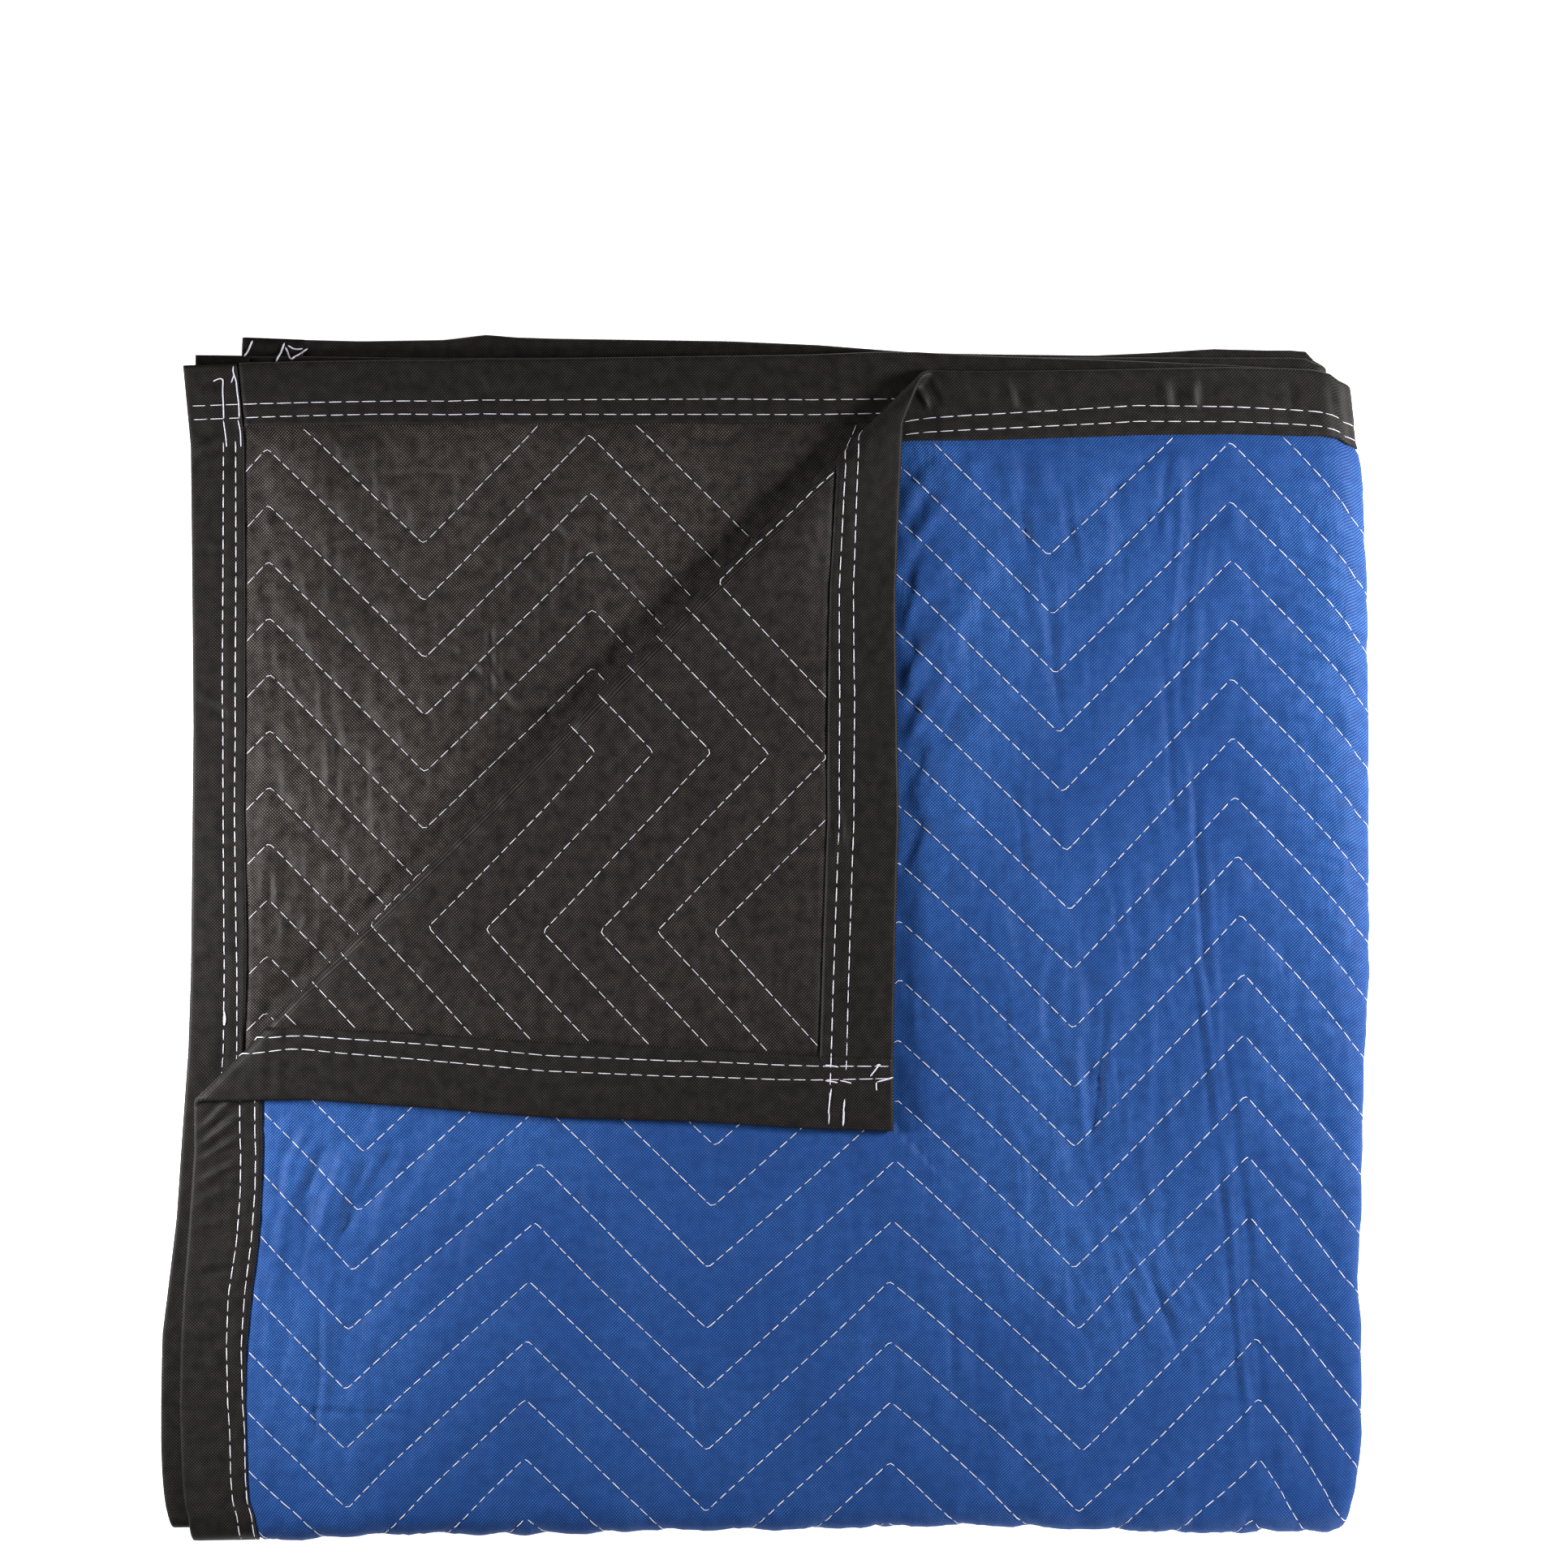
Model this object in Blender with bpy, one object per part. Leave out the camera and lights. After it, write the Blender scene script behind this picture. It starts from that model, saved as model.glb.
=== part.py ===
"""A quilted moving blanket, folded in quarters with the corner of its top layer turned back.

Every piece is drawn on the flat blanket first, in millimetres. `across` is the distance from the
fold at the right, negative on the outer half and positive on the inner half. `along` is the
distance from the fold at the bottom, negative on the half that lies on the floor and positive on
the half above it. `rise` is the height above the middle of the cloth, towards its blue face.
`folded` carries a point of the flat blanket to its place in the folded one.

Counted from the floor, the four layers are called floor, second, third and top.
"""

import math

import bmesh
import bpy
import numpy as np
from mathutils import Vector
from mathutils.geometry import delaunay_2d_cdt

MM = 0.001
SHARP_ANGLE = math.radians(40)


def table(columns, *rows):
    """A short table as one array for each named column."""
    return dict(zip(columns.split(), np.array(rows, float).T))


# The cloth, laid flat (mm)
HALF_WIDTH = 905.0  # from the right fold to a side edge
HALF_LENGTH = 900.0  # from the bottom fold to an end edge
LOFT = 5.0  # thickness of the quilted cloth
PUFF = 1.7  # how far the padding stands up between the quilting seams

# Binding tape (mm)
TAPE = 1.0  # thickness of one ply
FIT_GAP = 0.3  # between the tape and the cloth inside it
BINDING_WIDTH = {"over_end": 51.0, "under_end": 51.0, "outer_side": 52.0, "inner_side": 44.0}
SIGN = {"over_end": 1, "under_end": -1, "outer_side": -1, "inner_side": 1}
SHOULDER = 4.0  # length over which the cloth thickens beside the tape

# Folds (mm)
LAYER_STEP = 6.3  # from the middle of a layer to the middle of the next
NOSE = 1.6  # how much longer than round a folded edge is
FOLD_FACETS = 6
DROOP_START = 8.0  # the upper half bends down from here, inside the lower half's right fold
DROOP = 0.008  # drop for each square millimetre of overhang
DROOP_EASE = 90.0  # length over which the droop sets in, above the bottom fold

# Turned corner (mm): a roll along a diagonal, its edge this far from the middle of the blanket
CREASE_REACH = 222.7
ROLL = table(
    "run radius",
    (-400, 3.6),
    (-250, 3.8),
    (-100, 5.0),
    (50, 7.0),
    (200, 8.0),
    (330, 7.0),
    (390, 5.5),
)
SETTLE = 45.0  # length over which the turned corner settles on the layer below
SETTLE_LINES = (12.0, 26.0, 44.0, 68.0, 100.0)
FLAP_RIGHT, FLAP_BOTTOM = 99.0, -145.0  # edges of the turned corner

# Where the edges lie (mm), at heights above the bottom fold and at insets from the right fold. The
# first four columns are the layers' side or end edges, the others the outermost lines of the folds.
SIDEWAYS = table(
    "height floor second third top lower_fold upper_fold",
    (0, -442, -458, -458, -442, 449, 449),
    (20, -442, -457, -463, -447, 452, 455),
    (40, -440, -456, -465, -449, 453, 458),
    (65, -439, -456, -466, -450, 453, 460),
    (100, -437, -455, -466, -451, 453, 460),
    (150, -435, -453, -465, -450, 452, 460),
    (190, -434, -452, -460, -448, 451, 457),
    (240, -432, -448, -454, -444, 450, 460),
    (300, -429, -444, -450, -440, 448, 461),
    (370, -426, -441, -445, -440, 446, 463),
    (430, -424, -439, -443, -439, 445, 466),
    (520, -419, -438, -442, -445, 444, 466),
    (620, -415, -438, -441, -453, 442, 466),
    (745, -410, -438, -442, -457, 439, 465),
    (837, -406, -439, -443, -463, 437, 460),
    (900, -404, -440, -449, -465, 434, 452),
)
LENGTHWISE = table(
    "inset floor second third top bottom_fold",
    (0, 441, 441, 426, 426, -455),
    (12, 453, 447, 434, 435, -457),
    (25, 454, 448, 437, 438, -457),
    (45, 454, 448, 439, 439, -456),
    (90, 455, 448, 442, 440, -459),
    (140, 452, 448, 444, 439, -457),
    (190, 450, 448, 446, 438, -455),
    (280, 451, 448, 449, 437, -452),
    (335, 452, 449, 452, 438, -453),
    (365, 454, 449, 452, 435, -454),
    (420, 458, 449, 450, 430, -455),
    (495, 461, 448, 449, 424, -455),
    (565, 462, 448, 448, 422, -457),
    (640, 463, 448, 447, 421, -459),
    (675, 464, 448, 447, 421, -459),
    (700, 466, 448, 446, 420, -459),
    (735, 462, 448, 446, 419, -459),
    (805, 461, 449, 445, 417, -462),
    (850, 462, 449, 444, 416, -465),
    (905, 464, 450, 442, 416, -466),
)

HALF_LOFT = LOFT / 2
TONGUE = HALF_LOFT - TAPE - FIT_GAP  # half the thickness of the edge inside the tape
TAPE_RADIUS = HALF_LOFT - TAPE / 2  # of the tape's turn round the edge, at mid-thickness
HALF_STEP = LAYER_STEP / 2
FIRST_TURN = HALF_STEP * math.pi / 2  # flat length of half the right fold
SECOND_TURN = LAYER_STEP * math.pi / 2  # and of half the bottom fold
MID_HEIGHT = LAYER_STEP + HALF_STEP + HALF_LOFT  # height of the bottom fold's axis


def limited(value, low, high):
    return max(low, min(high, value))


def eased(value):
    """From 0 to 1 with level ends."""
    value = limited(value, 0.0, 1.0)
    return value * value * (3 - 2 * value)


def layer_of(across, along):
    if along < 0:
        return "floor" if across < 0 else "second"
    return "top" if across < 0 else "third"


def crease_radius(run):
    return float(np.interp(run, ROLL["run"], ROLL["radius"]))


def crease_place(x, y):
    """How far a point of the top layer lies past the start of the roll, and along the roll."""
    run = (x + y) / math.sqrt(2)
    start = CREASE_REACH - HALF_LOFT - crease_radius(run)
    return (y - x) / math.sqrt(2) - start, run, start


def at_height(height, column):
    return float(np.interp(height, SIDEWAYS["height"], SIDEWAYS[column]))


def at_inset(inset, column):
    return float(np.interp(inset, LENGTHWISE["inset"], LENGTHWISE[column]))


def laid_flat(across, along, rise):
    """Place in the folded blanket before its corner is turned back."""
    inset, height = abs(across), abs(along)
    layer = layer_of(across, along)
    half = "upper_fold" if along >= 0 else "lower_fold"

    turn = limited(across / HALF_STEP, -math.pi / 2, math.pi / 2)
    radius = HALF_STEP + rise
    offset = -radius * math.sin(turn)
    right = at_height(height, half) - NOSE * (HALF_STEP + HALF_LOFT)
    left = at_height(height, layer)
    inward = max(0.0, inset - FIRST_TURN) / (HALF_WIDTH - FIRST_TURN)
    x = right + NOSE * radius * math.cos(turn) + (left - right) * inward

    turn = limited(along / LAYER_STEP, -math.pi / 2, math.pi / 2)
    radius = LAYER_STEP + offset
    bottom = at_inset(inset, "bottom_fold") + NOSE * MID_HEIGHT
    end = at_inset(inset, layer)
    upward = max(0.0, height - SECOND_TURN) / (HALF_LENGTH - SECOND_TURN)
    y = bottom - NOSE * radius * math.cos(turn) + (end - bottom) * upward
    z = MID_HEIGHT + radius * math.sin(turn)

    if along > 0:
        overhang = max(0.0, x - at_height(height, "lower_fold") + DROOP_START)
        z -= DROOP * overhang**2 * eased(height / DROOP_EASE)
    return x, y, z


def folded(across, along, rise):
    """Place of a point of the flat blanket in the folded one (m)."""
    x, y, z = laid_flat(across, along, rise)
    if layer_of(across, along) == "top":
        past, run, start = crease_place(x, y)
        if past > 0:
            radius = crease_radius(run)
            turn = min(past / radius, math.pi)
            beyond = max(0.0, past - math.pi * radius)
            inner = radius - rise
            out = start + inner * math.sin(turn) - beyond
            settled = 1 - math.exp(-((beyond / SETTLE) ** 2))
            z += radius - inner * math.cos(turn) - rise
            z -= (2 * radius - LAYER_STEP) * settled
            x = (run - out) / math.sqrt(2)
            y = (run + out) / math.sqrt(2)
    return Vector((x, y, z)) * MM


# The quilting: zig-zag seams, each turning at the same places across. `low` and `high` are a turn's
# place across at the bottom fold and at the end edge. `first`, `sixth` and `last` are how far along
# three of the seams turn there.
QUILTING_TURNS = table(
    "low high first sixth last",
    (-905, -890, 195, 430, 889),
    (-772, -755, 59, 296, 754),
    (-641, -623, 191, 426, 889),
    (-500, -498, 52, 295, 754),
    (-358, -360, 184, 422, 885),
    (-213, -235, 50, 289, 754),
    (-75, -97, 190, 427, 888),
    (13, 13, 55, 292, 754),
    (130, 130, 192, 428, 888),
    (248, 248, 60, 298, 756),
    (365, 365, 198, 430, 888),
    (483, 483, 75, 305, 757),
    (596, 596, 207, 434, 886),
    (726, 726, 93, 314, 757),
    (846, 846, 224, 442, 877),
    (970, 970, 110, 320, 745),
)
SIXTH, LAST = 5, 15  # numbers of those seams, counted from 0
SEAM_NUMBERS = range(-3, LAST + 3)
CRESTS = (0.3, 0.7)  # sides of the padding's level top, between one seam and the next
REVEAL = 15.0  # length over which the padding rises beside what covers it (mm)

# How finely the pieces are divided
LEG_PARTS = 4  # pieces of a seam between two of its turns
PLY_PARTS = 4  # pieces of a line of the roll under one ply of tape
STATION = 80.0  # widest spacing of points along edges and fold lines (mm)
HALVINGS = 40  # steps of a search for a line of the roll
INSIDE = 0.1  # keeps that search off the folds (mm)
WELD = 1e-3  # points this close are one (mm)


def turn_places(along):
    """Where the seams' turns lie across, at a distance along the blanket."""
    share = abs(along) / HALF_LENGTH
    return QUILTING_TURNS["low"] + (QUILTING_TURNS["high"] - QUILTING_TURNS["low"]) * share


def seam_number(across, along):
    """Which seam passes a point, with the share of the way to the next one."""
    places = turn_places(along)
    first, sixth, last = (
        float(np.interp(across, places, QUILTING_TURNS[name])) for name in ("first", "sixth", "last")
    )
    if along < sixth:
        return SIXTH + (along - sixth) / (sixth - first) * SIXTH
    return SIXTH + (along - sixth) / (last - sixth) * (LAST - SIXTH)


def seam_turn(turn, number):
    """Where a seam, or a line between two seams, has one of its turns."""
    first, sixth, last = (QUILTING_TURNS[name][turn] for name in ("first", "sixth", "last"))
    if number < SIXTH:
        along = sixth + (sixth - first) * (number - SIXTH) / SIXTH
    else:
        along = sixth + (last - sixth) * (number - SIXTH) / (LAST - SIXTH)
    return turn_places(along)[turn], along


def inside_tape(across, along):
    """Distance from the nearest strip of tape to a point of the cloth, negative under the tape."""
    side = BINDING_WIDTH["outer_side" if across < 0 else "inner_side"]
    end = BINDING_WIDTH["under_end" if along < 0 else "over_end"]
    return min(HALF_WIDTH - side - abs(across), HALF_LENGTH - end - abs(along))


def shown(across, along, face):
    """How fully the padding stands up at a point: 0 where another layer or a fold presses on it."""
    layer = layer_of(across, along)
    x, y, _ = laid_flat(across, along, 0.0)
    past, run, _ = crease_place(x, y)
    if layer == "top" and face > 0:
        open_by = max(x - FLAP_RIGHT, FLAP_BOTTOM - y)
    elif layer == "top":
        open_by = past - math.pi * crease_radius(run)
    elif layer == "third" and face < 0:
        open_by = (y - x) / math.sqrt(2) - CREASE_REACH
    else:
        return 0.0
    edge = inside_tape(across, along) - SHOULDER
    fold = min(abs(across) - FIRST_TURN, abs(along) - SECOND_TURN)
    return eased(open_by / REVEAL) * eased(edge / REVEAL) * eased(fold / REVEAL)


def thickness(across, along, face):
    """Height of a face above the middle of the cloth."""
    share = limited((inside_tape(across, along) - FIT_GAP) / SHOULDER, 0.0, 1.0)
    puff = abs(math.sin(math.pi * seam_number(across, along))) * shown(across, along, face)
    return TONGUE + (HALF_LOFT - TONGUE) * share + PUFF * puff


def roll_coordinate(across, along):
    """Rises across the roll: the angle turned, then the distance beyond the roll."""
    x, y, _ = laid_flat(across, along, 0.0)
    past, run, _ = crease_place(x, y)
    radius = crease_radius(run)
    return min(past / radius, math.pi) + max(0.0, past - math.pi * radius)


def crossing(measure, target, low, high):
    """Where a measure that rises from low to high reaches a target."""
    for _ in range(HALVINGS):
        middle = (low + high) / 2
        if measure(middle) < target:
            low = middle
        else:
            high = middle
    return (low + high) / 2


def roll_along(across, target):
    return crossing(lambda along: roll_coordinate(across, along), target, INSIDE, HALF_LENGTH)


def roll_across(along, target):
    return crossing(lambda across: roll_coordinate(across, along), target, -INSIDE, -HALF_WIDTH)


def fold_lines(turn):
    """Lines across which a fold bends, on both sides of the fold's middle."""
    return [turn * (2 * i / FOLD_FACETS - 1) for i in range(FOLD_FACETS + 1)]


ROLL_LINES = [math.pi * i / FOLD_FACETS for i in range(FOLD_FACETS + 1)]
ROLL_LINES += [math.pi + distance for distance in SETTLE_LINES]
DROOP_LINES = slice(1, 4)  # the insets at which the drooping upper half bends
LINES_ACROSS = fold_lines(FIRST_TURN) + [
    sign * inset for inset in LENGTHWISE["inset"][DROOP_LINES] for sign in (-1, 1)
]
LINES_ALONG = fold_lines(SECOND_TURN)
ROWS_ACROSS = [sign * inset for inset in LENGTHWISE["inset"] for sign in (-1, 1)]
ROWS_ALONG = [sign * height for height in SIDEWAYS["height"] for sign in (-1, 1)]


def stations(low, high, fixed):
    """Fixed places between two ends, with evenly spaced ones in the wide gaps."""
    places = sorted({low, high, *(place for place in fixed if low < place < high)})
    spread = [low]
    for start, end in zip(places, places[1:]):
        parts = math.ceil((end - start) / STATION)
        spread += [start + (end - start) * (i + 1) / parts for i in range(parts)]
    return spread


def triangulated(outline, lines):
    """Triangles that fill a convex outline and keep to the given lines."""
    points, edges = [], []
    for line in [outline + outline[:1], *lines]:
        edges += [(len(points) + i, len(points) + i + 1) for i in range(len(line) - 1)]
        points += [Vector(point) for point in line]
    points, _, triangles, *_ = delaunay_2d_cdt(points, edges, [], 0, WELD)
    return points, triangles


def rim_edges(triangles):
    """Edges that only one triangle has, in that triangle's order."""
    edges = [(corners[i - 1], corners[i]) for corners in triangles for i in range(3)]
    known = set(edges)
    return [edge for edge in edges if edge[::-1] not in known]


def sheet(name, material, outline, lines, place):
    """One closed solid: a triangulated upper and lower face, joined round their rim.

    lines holds the lines that each face keeps to, and place(u, v, face) gives a point of the solid.
    Both faces have the same points on their rim.
    """
    mesh = bmesh.new()
    corners, rims = {}, {}
    for face in (1, -1):
        points, triangles = triangulated(outline, lines[face])
        made = [mesh.verts.new(place(point.x, point.y, face)) for point in points]
        for triangle in triangles:
            mesh.faces.new([made[i] for i in triangle[::face]])
        spots = [(round(point.x, 2), round(point.y, 2)) for point in points]
        rims[face] = [(spots[start], spots[end]) for start, end in rim_edges(triangles)]
        corners[face] = dict(zip(spots, made))
    upper, lower = corners[1], corners[-1]
    for start, end in rims[1]:
        mesh.faces.new((upper[end], upper[start], lower[start]))
        mesh.faces.new((upper[end], lower[start], lower[end]))
    bmesh.ops.recalc_face_normals(mesh, faces=mesh.faces)
    data = bpy.data.meshes.new(name)
    mesh.to_mesh(data)
    mesh.free()
    data.shade_smooth()
    data.set_sharp_from_angle(angle=SHARP_ANGLE)
    data.materials.append(material)
    bpy.context.collection.objects.link(bpy.data.objects.new(name, data))


def principled(name, colour, roughness):
    material = bpy.data.materials.new(name)
    material.use_nodes = True
    shader = material.node_tree.nodes["Principled BSDF"]
    shader.inputs["Base Color"].default_value = (*colour, 1.0)
    shader.inputs["Roughness"].default_value = roughness
    shader.inputs["Metallic"].default_value = 0.0
    return material


def quilting_lines(face):
    """Seams and crests of the padding, wherever the padding stands up on a face."""
    lines = []
    for number in SEAM_NUMBERS:
        for share in (0.0, *CRESTS):
            turns = [seam_turn(turn, number + share) for turn in range(len(QUILTING_TURNS["low"]))]
            line = []
            for start, end in zip(turns, turns[1:]):
                for part in range(LEG_PARTS):
                    across, along = Vector(start).lerp(Vector(end), part / LEG_PARTS)
                    on_cloth = abs(across) < HALF_WIDTH and abs(along) < HALF_LENGTH
                    if on_cloth and shown(across, along, face):
                        line.append((across, along))
                    else:
                        lines.append(line)
                        line = []
            lines.append(line)
    return [line for line in lines if len(line) > 1]


def tape_edges(names, half):
    """Lines beside the tape on two opposite edges: where the cloth starts and stops thickening."""
    return [
        SIGN[name] * (half - BINDING_WIDTH[name] - FIT_GAP - wide)
        for name in names
        for wide in (0.0, SHOULDER)
    ]


def under_tape(name):
    """Insets from an edge of the cloth, from under the tape to the tape's own edge."""
    return [BINDING_WIDTH[name] * part / PLY_PARTS for part in range(1, PLY_PARTS + 1)]


def quilted_panel(material):
    """The blanket itself, its edges thin where the tape holds them."""
    half_width = HALF_WIDTH - HALF_LOFT
    half_length = HALF_LENGTH - HALF_LOFT
    lines_across = LINES_ACROSS + tape_edges(("outer_side", "inner_side"), HALF_WIDTH)
    lines_along = LINES_ALONG + tape_edges(("under_end", "over_end"), HALF_LENGTH)
    across = stations(-half_width, half_width, lines_across + ROWS_ACROSS)
    along = stations(-half_length, half_length, lines_along + ROWS_ALONG)
    guides = [[(line, place) for place in along] for line in lines_across]
    guides += [[(place, line) for place in across] for line in lines_along]

    roll_sides, roll_ends = [], []
    for target in ROLL_LINES:
        side = roll_along(-half_width, target)
        end = roll_across(half_length, target)
        finish = [half_length - inset for inset in reversed(under_tape("over_end"))]
        finish = [(roll_across(place, target), place) for place in finish]
        begin = [inset - half_width for inset in under_tape("outer_side")]
        middle = begin + stations(begin[-1], finish[0][0], ())[1:-1]
        middle = [(place, roll_along(place, target)) for place in middle]
        guides.append([(-half_width, side), *middle, *finish, (end, half_length)])
        roll_sides.append(side)
        roll_ends.append(end)

    outline = [(place, -half_length) for place in across[:-1]]
    outline += [(half_width, place) for place in along[:-1]]
    outline += [(place, half_length) for place in sorted(across[1:] + roll_ends, reverse=True)]
    outline += [(-half_width, place) for place in sorted(along[1:] + roll_sides, reverse=True)]

    def place(across, along, face):
        return folded(across, along, face * thickness(across, along, face))

    lines = {face: guides + quilting_lines(face) for face in (1, -1)}
    sheet("quilted_panel", material, outline, lines, place)


def tape_section(place, face):
    """Inset from the edge, and height above the cloth's middle, of a point across the tape."""
    half_turn = TAPE_RADIUS * math.pi / 2
    radius = TAPE_RADIUS + face * TAPE / 2
    turn = limited(place / TAPE_RADIUS, -math.pi / 2, math.pi / 2)
    straight = max(0.0, abs(place) - half_turn)
    return HALF_LOFT - radius * math.cos(turn) + straight, radius * math.sin(turn)


def binding(name, material):
    """Tape folded round one edge. Across its flat strip it runs from the black face to the blue."""
    if name.endswith("end"):  # runs across, and stops short of the tape on the sides
        start = tape_edges(("outer_side",), HALF_WIDTH)[0]
        end = tape_edges(("inner_side",), HALF_WIDTH)[0]
        bends = LINES_ACROSS + ROWS_ACROSS
    else:
        start, end = -HALF_LENGTH, HALF_LENGTH
        bends = LINES_ALONG + ROWS_ALONG

    def on_cloth(run, inset):
        if name.endswith("end"):
            return run, SIGN[name] * (HALF_LENGTH - inset)
        return SIGN[name] * (HALF_WIDTH - inset), run

    def roll_run(place, target):
        inset, _ = tape_section(place, 0)
        if name == "over_end":
            return roll_across(HALF_LENGTH - inset, target)
        return roll_along(inset - HALF_WIDTH, target)

    half_turn = TAPE_RADIUS * math.pi / 2
    half_tape = half_turn + BINDING_WIDTH[name] - HALF_LOFT
    turn = [half_turn * share for share in (-1, -0.5, 0, 0.5, 1)]
    width = [-half_tape, *turn, half_tape]
    ply = [half_turn + (half_tape - half_turn) * part / PLY_PARTS for part in range(1, PLY_PARTS + 1)]
    length = stations(start, end, bends)
    guides = [[(line, run) for run in length] for line in turn]
    guides += [[(place, line) for place in width] for line in length[1:-1]]

    low_rim, high_rim = list(length), list(length)
    if name in ("over_end", "outer_side"):  # these cross the turned corner's roll
        for target in ROLL_LINES:
            places = [-place for place in reversed(ply)] + turn + ply
            crossed = [(place, roll_run(place, target)) for place in places]
            low_rim.append(crossed[0][1])
            high_rim.append(crossed[-1][1])
            guides.append(crossed)

    outline = [(place, start) for place in width[:-1]]
    outline += [(half_tape, run) for run in sorted(high_rim)[:-1]]
    outline += [(place, end) for place in reversed(width[1:])]
    outline += [(-half_tape, run) for run in sorted(low_rim, reverse=True)[:-1]]

    def place(across_tape, run, face):
        inset, rise = tape_section(across_tape, face)
        return folded(*on_cloth(run, inset), rise)

    sheet("binding_" + name, material, outline, {1: guides, -1: guides}, place)


def build():
    for old in list(bpy.data.objects):
        bpy.data.objects.remove(old)
    cloth = principled("Quilted cloth, blue face", (0.018, 0.085, 0.352), 0.75)
    tape = principled("Nonwoven tape, black", (0.022, 0.020, 0.018), 0.9)
    quilted_panel(cloth)
    for name in BINDING_WIDTH:
        binding(name, tape)


build()
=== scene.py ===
import functools
import math

import bpy
import numpy as np
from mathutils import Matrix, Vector
from mathutils.bvhtree import BVHTree
from mathutils.geometry import delaunay_2d_cdt


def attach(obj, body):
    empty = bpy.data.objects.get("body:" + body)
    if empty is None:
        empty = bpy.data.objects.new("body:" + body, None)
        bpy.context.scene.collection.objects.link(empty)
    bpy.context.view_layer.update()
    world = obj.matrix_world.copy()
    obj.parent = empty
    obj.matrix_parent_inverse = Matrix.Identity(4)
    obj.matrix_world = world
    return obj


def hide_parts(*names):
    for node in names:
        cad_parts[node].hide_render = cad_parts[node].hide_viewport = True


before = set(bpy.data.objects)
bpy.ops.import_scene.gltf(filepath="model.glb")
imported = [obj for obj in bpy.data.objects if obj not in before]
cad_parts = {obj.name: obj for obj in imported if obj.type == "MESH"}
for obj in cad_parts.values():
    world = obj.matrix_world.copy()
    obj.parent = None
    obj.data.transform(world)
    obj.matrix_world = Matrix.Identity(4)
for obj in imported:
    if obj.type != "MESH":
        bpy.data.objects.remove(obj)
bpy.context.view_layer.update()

bpy.ops.object.select_all(action="DESELECT")
print("frame loaded:", ", ".join(sorted(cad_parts)))


def table(columns, *rows):
    # rows of figures as one array for each named column
    return dict(zip(columns.split(), np.array(rows, float).T))


def eased(value):
    value = np.clip(value, 0.0, 1.0)
    return value * value * (3 - 2 * value)


def bell(value, wide):
    return np.exp(-((value / wide) ** 2))


# Sizes of the folded cloth, all in mm. "across" is measured on the flat cloth from the right fold,
# minus on the outer half. "along" is measured from the bottom fold, minus on the half on the floor.
# "rise" is the height above the middle of the cloth, towards its blue face. "x" and "y" are places
# on the folded blanket, seen from above.
cloth = {
    "halfWidth": 905.0,
    "halfLength": 900.0,
    "halfLoft": 2.5,
    "layerStep": 6.3,
    "nose": 1.6,
    "droopStart": 8.0,
    "droop": 0.008,
    "droopEase": 90.0,
    "creaseReach": 222.7,
    "settle": 45.0,
    "flapRight": 99.0,
    "flapBottom": -145.0,
    "flapSlope": 0.048,
    "drawnWide": 60.0,
}
halfWidth, halfLength, halfLoft, layerStep, nose = (
    cloth[key] for key in ("halfWidth", "halfLength", "halfLoft", "layerStep", "nose")
)
faceWidth, faceLength = halfWidth - halfLoft, halfLength - halfLoft  # half the size of each face
roll = table(
    "run radius",
    (-400, 3.6), (-250, 3.8), (-100, 5.0), (50, 7.0), (200, 8.0), (330, 7.0), (390, 5.5),
)
sideways = table(
    "height floor second third top lowerFold upperFold",
    (0, -442, -458, -458, -442, 449, 449),
    (20, -442, -457, -463, -447, 452, 455),
    (40, -440, -456, -465, -449, 453, 458),
    (65, -439, -456, -466, -450, 453, 460),
    (100, -437, -455, -466, -451, 453, 460),
    (150, -435, -453, -465, -450, 452, 460),
    (190, -434, -452, -460, -448, 451, 457),
    (240, -432, -448, -454, -444, 450, 460),
    (300, -429, -444, -450, -440, 448, 461),
    (370, -426, -441, -445, -440, 446, 463),
    (430, -424, -439, -443, -439, 445, 466),
    (520, -419, -438, -442, -445, 444, 466),
    (620, -415, -438, -441, -453, 442, 466),
    (745, -410, -438, -442, -457, 439, 465),
    (837, -406, -439, -443, -463, 437, 460),
    (900, -404, -440, -449, -465, 434, 452),
)
lengthwise = table(
    "inset floor second third top bottomFold",
    (0, 441, 441, 426, 426, -455),
    (12, 453, 447, 434, 435, -457),
    (25, 454, 448, 437, 438, -457),
    (45, 454, 448, 439, 439, -456),
    (90, 455, 448, 442, 440, -459),
    (140, 452, 448, 444, 439, -457),
    (190, 450, 448, 446, 438, -455),
    (280, 451, 448, 449, 437, -452),
    (335, 452, 449, 452, 438, -453),
    (365, 454, 449, 452, 435, -454),
    (420, 458, 449, 450, 430, -455),
    (495, 461, 448, 449, 424, -455),
    (565, 462, 448, 448, 422, -457),
    (640, 463, 448, 447, 421, -459),
    (675, 464, 448, 447, 421, -459),
    (700, 466, 448, 446, 420, -459),
    (735, 462, 448, 446, 419, -459),
    (805, 461, 449, 445, 417, -462),
    (850, 462, 449, 444, 416, -465),
    (905, 464, 450, 442, 416, -466),
)
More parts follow.
